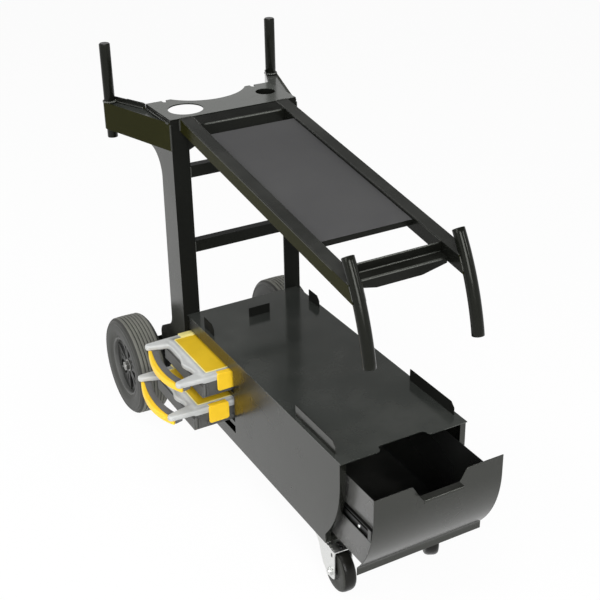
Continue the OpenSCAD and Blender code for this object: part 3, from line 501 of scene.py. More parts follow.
def bead(name, path, radius, pitch=2.6, sides=10, closed=False, ripple=0.14):
    """Rippled weld bead along a path of points, its radius and ripple pitch in millimetres."""
    step = pitch / (RIPPLE_POINTS * MM)
    points = []
    ends = path + path[:1] if closed else path
    for a, b in zip(ends, ends[1:]):
        count = max(1, round((b - a).length / step))
        points += [a.lerp(b, i / count) for i in range(count)]
    if not closed:
        points.append(ends[-1])
    n = len(points)
    verts = []
    for i, p in enumerate(points):
        ahead = points[(i + 1) % n] if closed else points[min(i + 1, n - 1)]
        behind = points[i - 1] if closed else points[max(i - 1, 0)]
        along = (ahead - behind).normalized()
        side = along.cross(ASKEW).normalized()
        up = along.cross(side)
        swell = radius * (1 - ripple + ripple * abs(cos(pi * i / RIPPLE_POINTS))) / MM
        if not closed:
            swell *= min(1.0, 0.35 + min(i, n - 1 - i) / 5)
        for k in range(sides):
            turn = tau * k / sides
            verts.append(p + (side * cos(turn) + up * sin(turn)) * swell)
    faces = bands(n, sides, along=closed)
    if not closed:
        faces += [tuple(range(sides)), tuple(range((n - 1) * sides, n * sides))]
    return new_piece(name, verts, faces)


def rod(name, path, radius, sides, closed=False):
    """Plain round rod along a path of points, its radius in millimetres."""
    return bead(name, path, radius, 30.0, sides, closed, 0.0)


def seam(s, start, end, radius, **form):
    """Weld bead between two points of the drawing, on one side."""
    return bead("bead", [at(s * x, y, z) for x, y, z in (start, end)], radius, **form)


def arc(cx, cy, r, start, end, count):
    """Points along an arc, angles in degrees."""
    turns = [radians(start + (end - start) * i / count) for i in range(count + 1)]
    return [(cx + r * cos(turn), cy + r * sin(turn)) for turn in turns]


def through(a, b, c, count):
    """Points along the arc from a to c that passes b."""
    near, far = (b[0] - a[0], b[1] - a[1]), (c[0] - a[0], c[1] - a[1])
    turn = 2 * (near[0] * far[1] - near[1] * far[0])
    first, second = near[0] ** 2 + near[1] ** 2, far[0] ** 2 + far[1] ** 2
    cx = a[0] + (far[1] * first - near[1] * second) / turn
    cy = a[1] + (near[0] * second - far[0] * first) / turn
    start, half, end = (degrees(atan2(p[1] - cy, p[0] - cx)) for p in (a, b, c))
    sweep = (end - start) % 360
    if (half - start) % 360 > sweep:
        sweep -= 360
    return arc(cx, cy, hypot(a[0] - cx, a[1] - cy), start, start + sweep, count)


def rounded(corners, count=6):
    """Closed outline with rounded corners, each given as across, along and radius."""
    outline = []
    for i, (x, y, r) in enumerate(corners):
        if not r:
            outline.append((x, y))
            continue
        corner = Vector((x, y))
        back = (Vector(corners[i - 1][:2]) - corner).normalized()
        ahead = (Vector(corners[(i + 1) % len(corners)][:2]) - corner).normalized()
        half = back.angle(ahead) / 2
        middle = corner + (back + ahead).normalized() * (r / sin(half) - r)
        reach = r / tan(half)
        outline += through(corner + back * reach, middle, corner + ahead * reach, count)
    return outline


def fill(loops):
    """Flat points and triangles between an outline and the holes in it."""
    flat, edges = [], []
    for loop in loops:
        first = len(flat)
        flat += [Vector(p) for p in loop]
        edges += [(first + i, first + (i + 1) % len(loop)) for i in range(len(loop))]
    points, _, caps = delaunay_2d_cdt(flat, edges, [], 5, 1e-5)[:3]
    return points, caps


def inset(outline, depth):
    """Outline moved inwards by a depth."""
    moved = []
    for i, p in enumerate(outline):
        here = Vector(p)
        back = (here - Vector(outline[i - 1])).normalized()
        ahead = (Vector(outline[(i + 1) % len(outline)]) - here).normalized()
        inward = Vector((-back.y - ahead.y, back.x + ahead.x)).normalized()
        slant = max(0.5, inward.dot(Vector((-ahead.y, ahead.x))))
        moved.append(tuple(here + inward * depth / slant))
    return moved


def pillow(name, outline, hole, profile, place):
    """Plate with a hole and a rounded rim: the profile gives inset and level, from underside to top."""
    verts = []
    for depth, level in profile:
        verts += [place(u, v, level) for u, v in inset(outline, depth)]
    faces = bands(len(profile), len(outline))
    for depth, level in (profile[0], profile[-1]):
        points, caps = fill([inset(outline, depth), hole])
        faces += [tuple(len(verts) + i for i in cap) for cap in caps]
        verts += [place(p.x, p.y, level) for p in points]
    faces += bands(2, len(hole), first=len(verts))
    for level in (profile[0][1], profile[-1][1]):
        verts += [place(u, v, level) for u, v in hole]
    return new_piece(name, verts, faces)


# Wheels: sizes shared with the solids, in millimetres of the workshop drawing
WHEEL_R, RIM_R, TYRE_W, AXLE_Y, WHEEL_X = 127, 77, 80, 203, 215

# Section of a tyre: steps out from the rim or in from the tread, and in from the side
TYRE_FOOT = ((0, 9), (1, 6.5), (3, 5.4), (5.5, 5.6), (7, 4.6))
TYRE_SHOULDER = ((13, 1.4), (12, 0.6), (10.6, 0.8), (9.6, 2.2), (5.5, 4.6), (3, 7.4), (1.7, 9.6))

# Flank of a tyre: its places as shares of its height, its height and its bulge
FLANK_PLACES, FLANK_H, FLANK_BULGE = (0.12, 0.25, 0.4, 0.55, 0.7, 0.82), 31, 4.6

# Ribs of the tread: count from the middle, pitch, half widths at top, edge and root, depth, crown
RIBS, RIB_PITCH, RIB_TOP, RIB_EDGE, RIB_ROOT, RIB_DEPTH, CROWN = 3, 8.6, 2.4, 3.3, 3.9, 4.2, 0.0011

# Turned and flat outlines of a rear wheel's trim
RIM_LIP = [(RIM_R - 6.2, 24), (RIM_R - 6.2, 31), (RIM_R - 5.2, 33.2), (RIM_R - 2.5, 34.4),
           (RIM_R + 0.2, 34), (RIM_R + 0.9, 32.4), (RIM_R + 0.4, 31), (RIM_R - 1.5, 30)]
HUB_COLLAR = [(9, 14), (23.4, 14), (24.6, 15.2), (24.6, 17), (22.6, 19.6), (19.4, 20.4),
              (18.6, 21.4), (12.6, 21.4), (12, 20.8)]
SPOKE_RIB = [(21, -4), (46, -2.6), (72, -4.2), (72, 4.2), (46, 2.6), (21, 4)]
AXLE_END = [(0, 34.6), (6.6, 34.6), (7.8, 33.6), (7.8, 32)]


def tyre_outline():
    """Section of a tyre: foot, rounded flanks with moulded rings, shoulders and ribbed tread."""
    a = TYRE_W / 2
    base, depth = TYRE_FOOT[-1]
    top = [(RIM_R + out, a - back) for out, back in TYRE_FOOT]
    for t in FLANK_PLACES:
        bulge = FLANK_BULGE * sin(pi * (0.08 + 0.80 * t)) ** 0.8
        top.append((RIM_R + base + FLANK_H * t, a - depth + bulge))
    top += [(WHEEL_R - drop, a - back) for drop, back in TYRE_SHOULDER]
    for k in range(RIBS, -1, -1):
        mid = k * RIB_PITCH
        crown = WHEEL_R - CROWN * mid * mid
        if k == RIBS:
            top += [(crown - 0.4, mid + RIB_EDGE)]
        else:
            top += [(crown - RIB_DEPTH, mid + RIB_ROOT), (crown - 0.3, mid + RIB_EDGE)]
        top.append((crown, mid + RIB_TOP))
        if k:
            top += [(crown, mid - RIB_TOP), (crown - 0.3, mid - RIB_EDGE)]
            top.append((crown - RIB_DEPTH, mid - RIB_ROOT))
    return top + [(r, -d) for r, d in reversed(top)]


def rear_wheels():
    """Tyres with ribbed tread and grooves darkened as painted shade, rim lips in a lighter plastic as
    painted highlight, hub collars and ribs between the rims' windows.
    """
    for side, s in SIDES:
        hub = at(s * WHEEL_X, AXLE_Y, WHEEL_R)
        out = Vector((s, 0.0, 0.0))
        body = "rear_wheel_" + side
        tyre = turned("ribbed_tyre_" + side, tyre_outline(), hub, out, 144)
        dress(tyre, body, "tyre_rubber")
        tyre.data.materials.append(TREAD)
        tyre.data.materials.append(GROOVE_SHADE_RUBBER)
        # Tread tops take the lighter worn, dusty rubber; the grooves take the darker rubber as painted
        # shade
        for face in tyre.data.polygons:
            drop = WHEEL_R - (face.center - hub).yz.length * MM
            face.material_index = 0 if drop > 6 else 2 if drop > 1.6 else 1
        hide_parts("tyre_" + side)
        lip = turned("rim_lip_highlight_" + side, RIM_LIP, hub, out, 144)
        # The rim lip takes the lighter dark-case plastic as a painted highlight round the rim
        dress(lip, body, "wheel_rim", 0.5, finish=FINISH["case_dark"])
        dress(turned("hub_collar_" + side, HUB_COLLAR, hub, out, 72), body, "wheel_rim", 0.4)
        ribs = []
        for k in range(6):
            turn = radians(60 * k + 30)
            along = Vector((0.0, cos(turn), sin(turn)))
            across = Vector((0.0, -sin(turn), cos(turn)))

            def spot(u, v, w, along=along, across=across):
                return hub + (along * u + across * v + out * w) / MM

            ribs.append(prism("rib", SPOKE_RIB, 21.0, 24.6, spot))
        dress(merged("rim_ribs_" + side, ribs), body, "wheel_rim", 1.1, 3)
        dress(turned("axle_end_" + side, AXLE_END, hub, out, 48), "frame", "zinc_steel", finish=NUT)


# Casters: swivel angles in degrees, then outlines in millimetres from the wheel's centre
SWIVEL = {"left": -3, "right": -27}
CASTER_HALF = [(6.4, 17.6), (11.2, 17.6), (12.4, 16.6), (13.4, 12.4), (19.4, 12), (20.6, 14),
               (22, 14.8), (42.6, 15), (45, 14.4), (47.2, 12.6), (48.8, 9.6), (49.7, 5.6)]
FORK_CHEEK = [(-16, 56.8), (-16, -8), (-13, -13.5), (-5, -17), (5, -18.6), (14, -17), (24, -12), (35, -4),
              (44, 11), (54, 36), (62, 45), (69.8, 49), (69.8, 56.8)]
FORK_CROWN = [(-16, 54), (69.8, 54), (69.8, 56.8), (-16, 56.8)]
FORK_RACE = [(7, 56.6), (19.8, 56.6), (19.8, 58.6), (18.8, 59.4), (7, 59.4)]
FORK_SLOT = rounded([(-7, 39, 1.6), (-1.5, 39, 1.6), (-1.5, 48, 1.6), (-7, 48, 1.6)])
FORK_RIVET = [(0, 2.6), (2.4, 2.4), (3.9, 1.3), (4.3, 0), (4.3, -1)]
AXLE_CAP = [(0, 4.2), (3, 4), (5.6, 3), (6.6, 1), (6.6, 0)]

# Fork's half width inside and outside, its trail, its rivets' height and places, and the caps' seat
FORK_IN, FORK_OUT, TRAIL, RIVET_Z, RIVET_PLACES, CAP_SEAT = 18.4, 21.5, 48, 107, (6, -8), 26.5


def casters():
    """Round caster tyres with flanks in painted light, fork shells with their ball races, dark plates on
    the cheeks for the slots as painted shade, rivets, and axle caps.
    """
    up = Vector((0.0, 0.0, 1.0))
    for side, s in SIDES:
        low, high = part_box("caster_wheel_" + side)
        hub = (Vector(low) + Vector(high)) / 2
        turn = radians(SWIVEL[side])
        axle = Vector((cos(turn), sin(turn), 0.0))
        ahead = Vector((sin(turn), -cos(turn), 0.0))
        body = "caster_" + side
        outline = CASTER_HALF + [(r, -d) for r, d in reversed(CASTER_HALF)]
        wheel = turned("caster_tyre_" + side, outline, hub, axle, 96, True)
        dress(wheel, "caster_roll_" + side, "caster_rubber")
        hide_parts("caster_wheel_" + side)
        # The flanks take the lighter rubber: painted light
        wheel.data.materials.append(LIT_FLANK_RUBBER)
        for face in wheel.data.polygons:
            face.material_index = 1 if abs(face.normal.dot(axle)) > 0.6 else 0

        def beside(u, w, o, hub=hub, axle=axle, ahead=ahead):
            return hub + (-ahead * u + up * w + axle * o) / MM

        parts = [prism("cheek", FORK_CHEEK, FORK_IN, FORK_OUT, beside),
                 prism("cheek", FORK_CHEEK, -FORK_OUT, -FORK_IN, beside),
                 prism("crown", FORK_CROWN, -FORK_IN - 0.2, FORK_IN + 0.2, beside),
                 turned("race", FORK_RACE, hub - ahead * TRAIL / MM, up, 64, True)]
        fork = dress(merged("fork_shell_" + side, parts), body, "zinc_steel", 0.9, 3)
        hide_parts("caster_fork_" + side)
        faces = (("outer", s), ("inner", -s))
        # Dark plates laid on both cheeks stand for the slots: painted shade
        for face, d in faces:
            low, high = d * (FORK_OUT - 0.2), d * (FORK_OUT + 0.3)
            window = prism(f"fork_slot_shade_{side}_{face}", FORK_SLOT, low, high, beside)
            dress(window, body, "slide_steel", 0.2)
        for k, reach in enumerate(RIVET_PLACES):
            place = Vector((hub.x, hub.y, RIVET_Z / MM)) + ahead * reach / MM
            dress(turned(f"fork_rivet_{side}_{k}", FORK_RIVET, place, up, 32), body, "slide_steel")
        for face, d in faces:
            seat = hub + axle * d * CAP_SEAT / MM
            cap = turned(f"axle_cap_{side}_{face}", AXLE_CAP, seat, axle * d, 40)
            dress(cap, body, "zinc_steel")


# Cases: name, outer end and underside of each, then their middle lengthwise
CASES, CASE_Y = (("upper", -217, 248), ("lower", -242, 170)), -115

# Sizes of a case: length, half width, underside and top of the grip, rise of the grip's ends
CASE_L, CASE_V, GRIP_LOW, GRIP_TOP, GRIP_RISE = 300, 109, 17, 33, 6.4

# Rim of a case's frame, as inset and level from its underside to its top
FRAME_RIM = ((4.6, 38.6), (2.6, 39), (1.1, 40.1), (0.2, 42), (0, 44), (0, 46.2), (0.2, 48.2),
             (1.1, 50.1), (2.6, 51.3), (4.6, 51.7))

# Arcs of the grip's crown, its seat on the bar and the bar's back: rear end, middle and front end
GRIP_CROWN = ((-43, 103), (-63.5, -4), (-46.5, -98))
GRIP_SEAT = ((-36, 101), (-50, -2), (-40, -96))
BAR_BACK = ((-21, 96), (-35, 1), (-20, -90))

# Places and radii of the ridges along a case's front, and section of a hinge tab
RIDGES = ((6, 4.2), (15, 1.9), (285, 1.9), (294, 4.2))
HINGE_TAB = [(91, 51.4), (91, 52.6), (92.4, 53.8), (108.4, 53.8), (110, 53.2), (110.6, 51.6),
             (110.6, 34), (106, 34), (106, 51.4)]

# Latches: places of their outer edges, width, foot and top
LATCHES, LATCH_W, LATCH_LOW, LATCH_TOP = (("outer", 36), ("inner", CASE_L - 93)), 50, 10.4, 54.4


def frame_outline():
    """Plan of a case's frame: two arms with round tips at its outer end, a wavy edge between them."""
    r = 10
    inner_end = arc(CASE_L - r, -CASE_V + r, r, -90, 0, 8) + arc(CASE_L - r, CASE_V - r, r, 0, 90, 8)
    rear_tip = through((-43.0, 107.5), (-51.5, 98.0), (-44.0, 88.5), 12)
    rear_arm = [(0.0, CASE_V)] + rear_tip + [(-20.0, 81.0), (-5.0, 77.0)]
    wavy = [(-1.5 - 9.0 * exp(-((v + 24) / 22) ** 2), v) for v in range(66, -66, -6)]
    front_tip = through((-50.0, -87.0), (-58.5, -96.5), (-50.0, -106.0), 12)
    front_arm = [(-3.0, -72.0), (-10.0, -77.0), (-28.0, -81.0)] + front_tip + [(0.0, -CASE_V)]
    return inner_end + rear_arm + wavy + front_arm


def oblong(margin, half, r, count=6):
    """Rounded oblong in a case's plan, that far from both of its ends and that wide to each side."""
    far = CASE_L - margin
    return rounded([(margin, -half, r), (far, -half, r), (far, half, r), (margin, half, r)], count)


def grip_bow(outer, inner):
    """Plan of a curved bar between two arcs."""
    return through(*outer, 36) + through(*reversed(inner), 36)


def case_place(x, z, order):
    """Function that puts a point of a case in place, its measures given in that order."""
    def place(*measures):
        u, v, w = (measures[order.index(name)] for name in "uvw")
        return at(x + u, CASE_Y + v, z + w)
    return place


def case_frame(level, plan):
    """Frame of a case round its lid, with a skirt below it."""
    body = "case_" + level
    shell = pillow("case_shell_" + level, frame_outline(), oblong(18.7, 89.3, 2), FRAME_RIM, plan)
    dress(shell, body, "case_grey")
    shell.data.set_sharp_from_angle(angle=radians(40))
    shell.modifiers.new("even_faces", "WEIGHTED_NORMAL").keep_sharp = True
    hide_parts(f"case_{level}_frame")
    dress(prism("frame_skirt_" + level, oblong(0.6, 108.4, 9), 37.0, 41.0, plan), body, "case_grey", 0.8)


def case_grip(level, plan):
    """Crescent grip of a case on its dark bar, which stands on two feet under the frame's arms."""
    body = "case_" + level

    def bowed(u, v, w):
        return plan(u, v, w + GRIP_RISE * (v / 98) ** 2)

    grip = prism("crescent_grip_" + level, grip_bow(GRIP_CROWN, GRIP_SEAT), GRIP_LOW, GRIP_TOP, bowed)
    dress(grip, body, "case_yellow", 4.4, 4, 40.0)
    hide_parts(f"case_{level}_grip")
    parts = [prism("bar", grip_bow(GRIP_SEAT, BAR_BACK), GRIP_LOW + 0.6, GRIP_TOP - 0.8, bowed)]
    for v in (94.0, -91.0):
        foot = rounded([(-40.0, v - 5, 4), (-22.0, v - 5, 4), (-22.0, v + 5, 4), (-40.0, v + 5, 4)])
        parts.append(prism("foot", foot, GRIP_TOP - 4.0, 41.5, plan))
    dress(merged("grip_bar_" + level, parts), body, "case_dark", 2.2, 3, 40.0, GRIP_BAR)


def case_trim(level, plan, section):
    """Pale lid edge as a painted highlight, seam band, corner ridges and hinge tabs of a case; the tabs
    take the same pale coat.
    """
    body = "case_" + level
    edge = [plan(u, v, 51.8) for u, v in oblong(19.6, 88.4, 3, 4)]
    # The lid's edge in pale yellow: painted highlight
    dress(rod("lid_edge_" + level, edge, 1.5, 8, True), body, "case_yellow", finish=LID_EDGE_HIGHLIGHT)
    dress(prism("seam_band_" + level, oblong(1.6, 106.6, 8), 29.4, 37.4, plan), body, "case_dark", 1.0)
    for k, (u, r) in enumerate(RIDGES):
        ridge = prism(f"corner_ridge_{level}_{k}", arc(u, -106.2, r, 180, 360, 12), 3.0, 34.0, plan)
        dress(ridge, body, "case_dark", 0.8, 3, 40.0)
    for k, u in enumerate((38.0, 222.0)):
        tab = prism(f"hinge_tab_{level}_{k}", HINGE_TAB, u, u + 40.0, section)
        # The tabs take the same pale yellow: painted highlight
        dress(tab, body, "case_yellow", 0.7, 3, finish=LID_EDGE_HIGHLIGHT)


def case_latches(level, front):
    """Latches on a case's front, each hooked over the frame and hinged on its own body."""
    for end, u in LATCHES:
        far = u + LATCH_W
        face = rounded([(u, LATCH_LOW, 6), (far, LATCH_LOW, 6), (far, LATCH_TOP, 5), (u, LATCH_TOP, 5)])
        hook = [(u + 3.0, 52.0), (far - 3.0, 52.0), (far - 3.0, LATCH_TOP), (u + 3.0, LATCH_TOP)]
        parts = [prism("face", face, -113.4, -109.6, front), prism("hook", hook, -110.4, -99.0, front)]
        latch = merged(f"snap_latch_{level}_{end}", parts)
        dress(latch, f"latch_{level}_{end}", "case_yellow", 1.1, 3, 40.0)
        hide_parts(f"case_{level}_latch_{end}")


def moulded_cases():
    """Both cases: frames, grips, trim and latches."""
    for level, x, z in CASES:
        plan = case_place(x, z, "uvw")
        case_frame(level, plan)
        case_grip(level, plan)
        case_trim(level, plan, case_place(x, z, "vwu"))
        case_latches(level, case_place(x, z, "uwv"))


# Drawer front: half width, top, face, bend's top, foot and radius, skirt's foot, sheet
FACE_HALF, FACE_TOP, FACE_Y, BEND_Z, BEND_FOOT, BEND_R = 149, 333, -836, 290, 134, 238
SKIRT_FOOT, SHEET = 116, 2
STRAIGHT, SWEEP = FACE_TOP - BEND_Z, asin((BEND_Z - BEND_FOOT) / BEND_R)

# Notch in the drawer front: half widths at its top and floor, depth. Pull lip: half length, reach, hem
NOTCH_TOP, NOTCH_FLOOR, NOTCH_D, PULL_HALF, PULL_REACH, HEM_R = 63, 46.5, 27, 46, 12, 4


def face_point(x, s):
    """Point on the rolled drawer front, s millimetres down along the sheet from its top edge."""
    turn = min(max(s - STRAIGHT, 0.0) / BEND_R, SWEEP)
    low = max(s - STRAIGHT - SWEEP * BEND_R, 0.0)
    drop = min(s, STRAIGHT) + BEND_R * sin(turn) + low
    return at(x, FACE_Y + BEND_R * (1 - cos(turn)), FACE_TOP - drop)


def drawer_face():
    """Rolled drawer front with a slanted notch, and the hemmed lip to pull it by."""
    length = STRAIGHT + BEND_R * SWEEP + BEND_FOOT - SKIRT_FOOT
    corners = [(-FACE_HALF, 0, 0), (-FACE_HALF, length, 0), (FACE_HALF, length, 0), (FACE_HALF, 0, 0)]
    corners += [(NOTCH_TOP, 0, 5), (NOTCH_FLOOR, NOTCH_D, 4)]
    corners += [(-NOTCH_FLOOR, NOTCH_D, 4), (-NOTCH_TOP, 0, 5)]
    work = bmesh.new()
    work.faces.new([work.verts.new((x, s, 0.0)) for x, s in rounded(corners)])
    pitch = 4.0
    down = (0.0, 1.0, 0.0)
    for k in range(1, int(length / pitch)):
        every = work.verts[:] + work.edges[:] + work.faces[:]
        bmesh.ops.bisect_plane(work, geom=every, plane_co=(0.0, k * pitch, 0.0), plane_no=down)
    for vert in work.verts:
        vert.co = face_point(vert.co.x, vert.co.y)
    work.normal_update()
    bmesh.ops.reverse_faces(work, faces=[face for face in work.faces if face.normal.y > 0])
    mesh = bpy.data.meshes.new("rolled_face")
    work.to_mesh(mesh)
    work.free()
    face = bpy.data.objects.new("rolled_face", mesh)
    wall = face.modifiers.new("sheet", "SOLIDIFY")
    wall.thickness, wall.offset, wall.use_even_offset = SHEET / MM, -1.0, True
    dress(face, "drawer", "black_paint", 0.7, 2, 30.0)
    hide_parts("drawer_front")
    root, level, nose = FACE_Y + SHEET - 0.2, FACE_TOP - NOTCH_D, FACE_Y - PULL_REACH
    hem = [(root, level)] + arc(nose, level - HEM_R, HEM_R, 90, 180, 8)
    hem += [(nose - HEM_R, level - 2 * HEM_R), (nose - HEM_R + SHEET, level - 2 * HEM_R)]
    hem += arc(nose, level - HEM_R, HEM_R - SHEET, 180, 90, 6) + [(root, level - SHEET)]
    lip = prism("pull_lip", hem, -PULL_HALF, PULL_HALF, lambda y, z, x: at(x, y, z))
    dress(lip, "drawer", "black_paint", 0.5)


# Drawer slides: outlines of cage and stop from the side, places of the rivets and a rivet's head
BALL_CAGE = [(-797, 217.2), (-440, 217.2), (-440, 225.2), (-797, 225.2)]
SLIDE_STOP = [(-802, 207.4), (-790, 207.4), (-790, 235), (-802, 235)]
SLIDE_RIVETS, RIVET_HEAD = (-757, -640, -500), [(0, 2), (2.2, 1.8), (3.6, 1), (4, 0)]


def slide_trim():
    """Ball cages, stops and rivets of the drawer slides."""
    for side, s in SIDES:
        def spot(y, z, x, s=s):
            return at(s * x, y, z)

        dress(prism("ball_cage_" + side, BALL_CAGE, 129.6, 131.6, spot), "drawer", "slide_steel", 0.4)
        stop = prism("slide_stop_" + side, SLIDE_STOP, 128.4, 133.6, spot)
        dress(stop, "drawer", "slide_steel", 1.2, 3, finish=FINISH["case_dark"])
        for k, y in enumerate(SLIDE_RIVETS):
            place = at(s * 131.8, y, 217.2)
            rivet = turned(f"slide_rivet_{side}_{k}", RIVET_HEAD, place, (s, 0, 0), 32)
            dress(rivet, "drawer", "zinc_steel")


# Upper frame: uprights' outside, crossbars' ends and undersides, tops of yoke and ears, handle posts
UP_X, BAR_X, BAR_Z, YOKE_Z, EAR_TOP = 158.3, 116.3, (499, 685), 828.5, 820
POST_X, POST_Y, POST_R = 212.5, 229.3, 12.7

# Tray rails: inside, width and tilt. Horns: place, centre and radius of the bend, angles of their ends
RAIL_X, RAIL_W, TILT = 105.4, 30, radians(8.25)
HORN_X, HORN_Y, HORN_Z, HORN_R, HORN_FOOT, HORN_END = 120.4, -241, 472.5, 540, 11, 33
HORN_PLUG = [(0, 1), (8, 1), (11, 0.7), (12.2, -0.2), (12.2, -1.2)]

# Folds across the tray: name, place along the slope, height over the tray's top and radius
FOLDS = (("trough_front_fold", 694.2, -22.8, 2.3), ("trough_back_fold", 671, -1.2, 1.7),
         ("trough_crease", 672.6, -20.4, 1.5), ("cross_tube_fold", 44, -1.5, 2.1))


def tray_point(x, y, z):
    """Point of the tilted tray: across, forward along the slope and above its top."""
    lean, rise = sin(TILT), cos(TILT)
    return at(x, -y * rise - z * lean, YOKE_Z - y * lean + z * rise)


def horn_point(x, r, angle):
    """Point beside a horn's bend: across, distance from the bend's centre, degrees above level."""
    turn = radians(angle)
    return at(x, HORN_Y - r * cos(turn), HORN_Z + r * sin(turn))


def horn_plugs():
    """Plastic plugs in both ends of the horns."""
    for side, s in SIDES:
        for end, angle, way in (("top", HORN_END, 1.0), ("foot", HORN_FOOT, -1.0)):
            turn = radians(angle)
            along = Vector((0.0, sin(turn), cos(turn))) * way
            place = horn_point(s * HORN_X, HORN_R, angle)
            plug = turned(f"horn_plug_{side}_{end}", HORN_PLUG, place, along, 48)
            dress(plug, "frame", "black_paint", finish=FINISH["case_dark"])


def ear_rims():
    """Raised rear rims of the ears, with the weld beads round their webs."""
    foot, end = Vector((UP_X, 140.0)), Vector((198.6, 235.2))
    along = (end - foot).normalized()
    out = Vector((-along.y, along.x))
    strip = [tuple(p) for p in (foot, end, end - out * 3, foot - out * 3)]
    inner = (foot + along * 4 - out * 4, end - along * 9 - out * 4)
    upper = (foot + along * 3 - out * 1.5, foot + along * 60 - out * 1.5)
    for side, s in SIDES:
        rim = prism("ear_rim_" + side, strip, EAR_TOP - 0.4, YOKE_Z + 0.5,
                    lambda x, y, z, s=s: at(s * x, y, z))
        dress(rim, "frame", "black_paint", 0.8, 3)
        beads = [seam(s, (UP_X + 1.6, 5, EAR_TOP - 1), (UP_X + 1.6, 135, EAR_TOP - 1), 3.4),
                 seam(s, *((p.x, p.y, EAR_TOP - 2) for p in inner), 3.0),
                 seam(s, *((p.x, p.y, YOKE_Z + 0.2) for p in upper), 1.7)]
        dress(merged("ear_beads_" + side, beads), "frame", "black_paint")


def folded_edges():
    """Round folds along the trough's edges and the cross tube in a lighter coat, partly wear and partly
    painted highlight, and round long edges of the rails.
    """
    end = RAIL_X - 0.6
    for name, y, z, r in FOLDS:
        fold = rod(name, [tray_point(x, y, z) for x in (-end, end)], r, 16)
        # The folds' lighter coat: partly wear, partly painted highlight
        dress(fold, "frame", "black_paint", finish=FOLD_HIGHLIGHT_COAT)
    for side, s in SIDES:
        edges = [rod("edge", [tray_point(s * x, y, -1.5) for y in (3.0, 684.0)], 1.8, 14)
                 for x in (RAIL_X + 1.5, RAIL_X + RAIL_W - 1.5)]
        dress(merged("rail_edges_" + side, edges), "frame", "black_paint")


def frame_welds():
    """Weld beads where straps, posts, rails, horns and crossbars meet."""
    ring_r, saddle_r = POST_R + 0.9, POST_R + 0.4
    near, far = RAIL_X + 1, RAIL_X + RAIL_W - 1
    rail_foot = YOKE_Z - RAIL_W / cos(TILT)
    for side, s in SIDES:
        ring = [at(s * (POST_X + x), POST_Y + y, EAR_TOP + 0.6) for x, y in arc(0, 0, ring_r, 0, 351, 39)]
        post_bead = bead("post_bead_" + side, ring, 2.8, 3.4, closed=True, ripple=0.35)
        # The post bead takes the lighter fold coat: partly wear, partly painted highlight
        dress(post_bead, "frame", "black_paint", finish=FOLD_HIGHLIGHT_COAT)
        beads = [seam(s, (UP_X + 0.4, y, 757), (UP_X + 0.4, y, 818), 2.2) for y in (-0.2, 140.2)]
        for z in BAR_Z:
            beads.append(seam(s, (BAR_X, -0.2, z + 1), (BAR_X, -0.2, z + 27), 1.8))
            beads.append(seam(s, (BAR_X + 0.5, 0.4, z + 28.4), (BAR_X + 0.5, 20.0, z + 28.4), 1.6))
        beads.append(seam(s, (near, -0.4, YOKE_Z - 0.2), (far, -0.4, YOKE_Z - 0.2), 1.6))
        beads.append(seam(s, (far + 1, -0.4, YOKE_Z - 2), (far + 1, -0.4, rail_foot + 2), 2.9,
                          pitch=3.4, ripple=0.3))
        beads.append(bead("bead", [tray_point(s * RAIL_X, y, 0.1) for y in (5.0, 44.0)], 1.4))
        for x in (HORN_X - POST_R - 0.2, HORN_X + POST_R + 0.2):
            beads.append(bead("bead", [horn_point(s * x, HORN_R, 24.4 + 0.8 * k) for k in range(5)], 1.7))
        saddle = []
        for k in range(19):
            turn = radians(10 * k - 90)
            across, back = saddle_r * sin(turn), saddle_r * cos(turn)
            saddle.append(horn_point(s * (HORN_X + across), HORN_R - back, 27.8 + 1.05 * cos(turn)))
        beads.append(bead("bead", saddle, 1.6))
        dress(merged("frame_welds_" + side, beads), "frame", "black_paint")


WHITE = (1.0, 1.0, 1.0, 1.0)

# Light panels: place in metres, size and power
PANELS = {
    "overhead_panel": ((-0.5, -0.3, 3.4), 1.8, 41.0),
    "left_panel": ((-3.2, -0.6, 2.2), 1.6, 36.0),
    "front_panel": ((-1.3, -3.6, 2.4), 1.8, 118.0),
    "front_right_strip": ((1.9, -3.3, 2.5), 0.9, 26.0),
    "rear_left_strip": ((-1.7, 3.0, 2.0), 0.8, 16.0),
}


def white_room():
    """Room that is white low down and dim above."""
    world = bpy.data.worlds.new("white_room")
    scene.world = world
    world.use_nodes = True
    tree = world.node_tree
    facing = put(tree, "ShaderNodeTexCoord").outputs["Generated"]
    rise = put(tree, "ShaderNodeSeparateXYZ", {0: facing}).outputs["Z"]
    backdrop = tree.nodes["Background"].inputs
    tree.links.new(spread(tree, rise, 0.03, 0.62, 1.0, 0.14), backdrop["Strength"])
    backdrop["Color"].default_value = WHITE


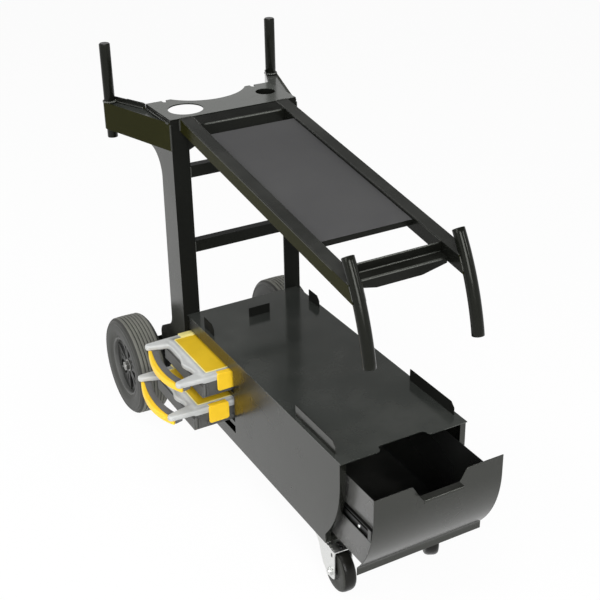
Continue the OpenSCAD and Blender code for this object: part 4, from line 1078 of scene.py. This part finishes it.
def pale_floor():
    """White floor that keeps the trolley's shadow."""
    reach = 9
    mesh = bpy.data.meshes.new("floor")
    corners = [(-reach, -reach, 0), (reach, -reach, 0), (reach, reach, 0), (-reach, reach, 0)]
    mesh.from_pydata(corners, [], [(0, 1, 2, 3)])
    floor = bpy.data.objects.new("floor", mesh)
    floor.location.z = -0.0008
    scene.collection.objects.link(floor)
    m, tree, shader = begin("white_floor", Roughness=0.9, Specular_IOR_Level=0.0)
    shader.inputs["Base Color"].default_value = (0.9, 0.9, 0.9, 1.0)
    ray = put(tree, "ShaderNodeLightPath").outputs
    mirrored = sums(tree, "MAXIMUM", ray["Is Glossy Ray"], ray["Is Transmission Ray"])
    seen = sums(tree, "MAXIMUM", ray["Is Camera Ray"], mirrored)
    glow = put(tree, "ShaderNodeEmission", {"Color": WHITE, "Strength": 1.0})
    layers = {0: times(tree, seen, 0.95), 1: shader.outputs[0], 2: glow.outputs[0]}
    mixed = put(tree, "ShaderNodeMixShader", layers)
    tree.links.new(mixed.outputs[0], tree.nodes["Material Output"].inputs["Surface"])
    mesh.materials.append(m)


def light_panels():
    """Soft light panels that face the trolley's middle."""
    middle = Vector((0.0, 0.0, 0.4))
    for name, (place, size, power) in PANELS.items():
        lamp = bpy.data.lights.new(name, "AREA")
        lamp.shape, lamp.size, lamp.energy = "SQUARE", size, power
        obj = bpy.data.objects.new(name, lamp)
        obj.location = place
        obj.rotation_euler = (middle - Vector(place)).to_track_quat("-Z", "Y").to_euler()
        scene.collection.objects.link(obj)


# Camera: heading, pitch and roll in degrees, place in millimetres of the drawing, lens
VIEW_TURN, VIEW_PLACE, LENS = (28.47, 27.24, 1.18), (-1098.59, -2317.16, 1656.99), 70.612


def camera():
    """Camera where the photograph was taken from."""
    heading, pitch, roll = (radians(a) for a in VIEW_TURN)
    level = Vector((sin(heading), cos(heading), 0.0))
    ahead = level * cos(pitch) - Vector((0.0, 0.0, sin(pitch)))
    right = Vector((cos(heading), -sin(heading), 0.0))
    down = ahead.cross(right)
    side = cos(roll) * right + sin(roll) * down
    low = -sin(roll) * right + cos(roll) * down
    lens = bpy.data.cameras.new("camera")
    lens.sensor_fit, lens.sensor_width, lens.lens = "HORIZONTAL", 36.0, LENS
    lens.clip_start, lens.clip_end = 0.05, 60.0
    obj = bpy.data.objects.new("camera", lens)
    facing = Matrix((side, -low, -ahead)).transposed().to_4x4()
    obj.matrix_world = Matrix.Translation(at(*VIEW_PLACE)) @ facing
    scene.collection.objects.link(obj)
    scene.camera = obj


scene.view_settings.view_transform = "Standard"
camera()
white_room()
pale_floor()
light_panels()
dress_solids()
rear_wheels()
casters()
moulded_cases()
drawer_face()
slide_trim()
horn_plugs()
ear_rims()
folded_edges()
frame_welds()
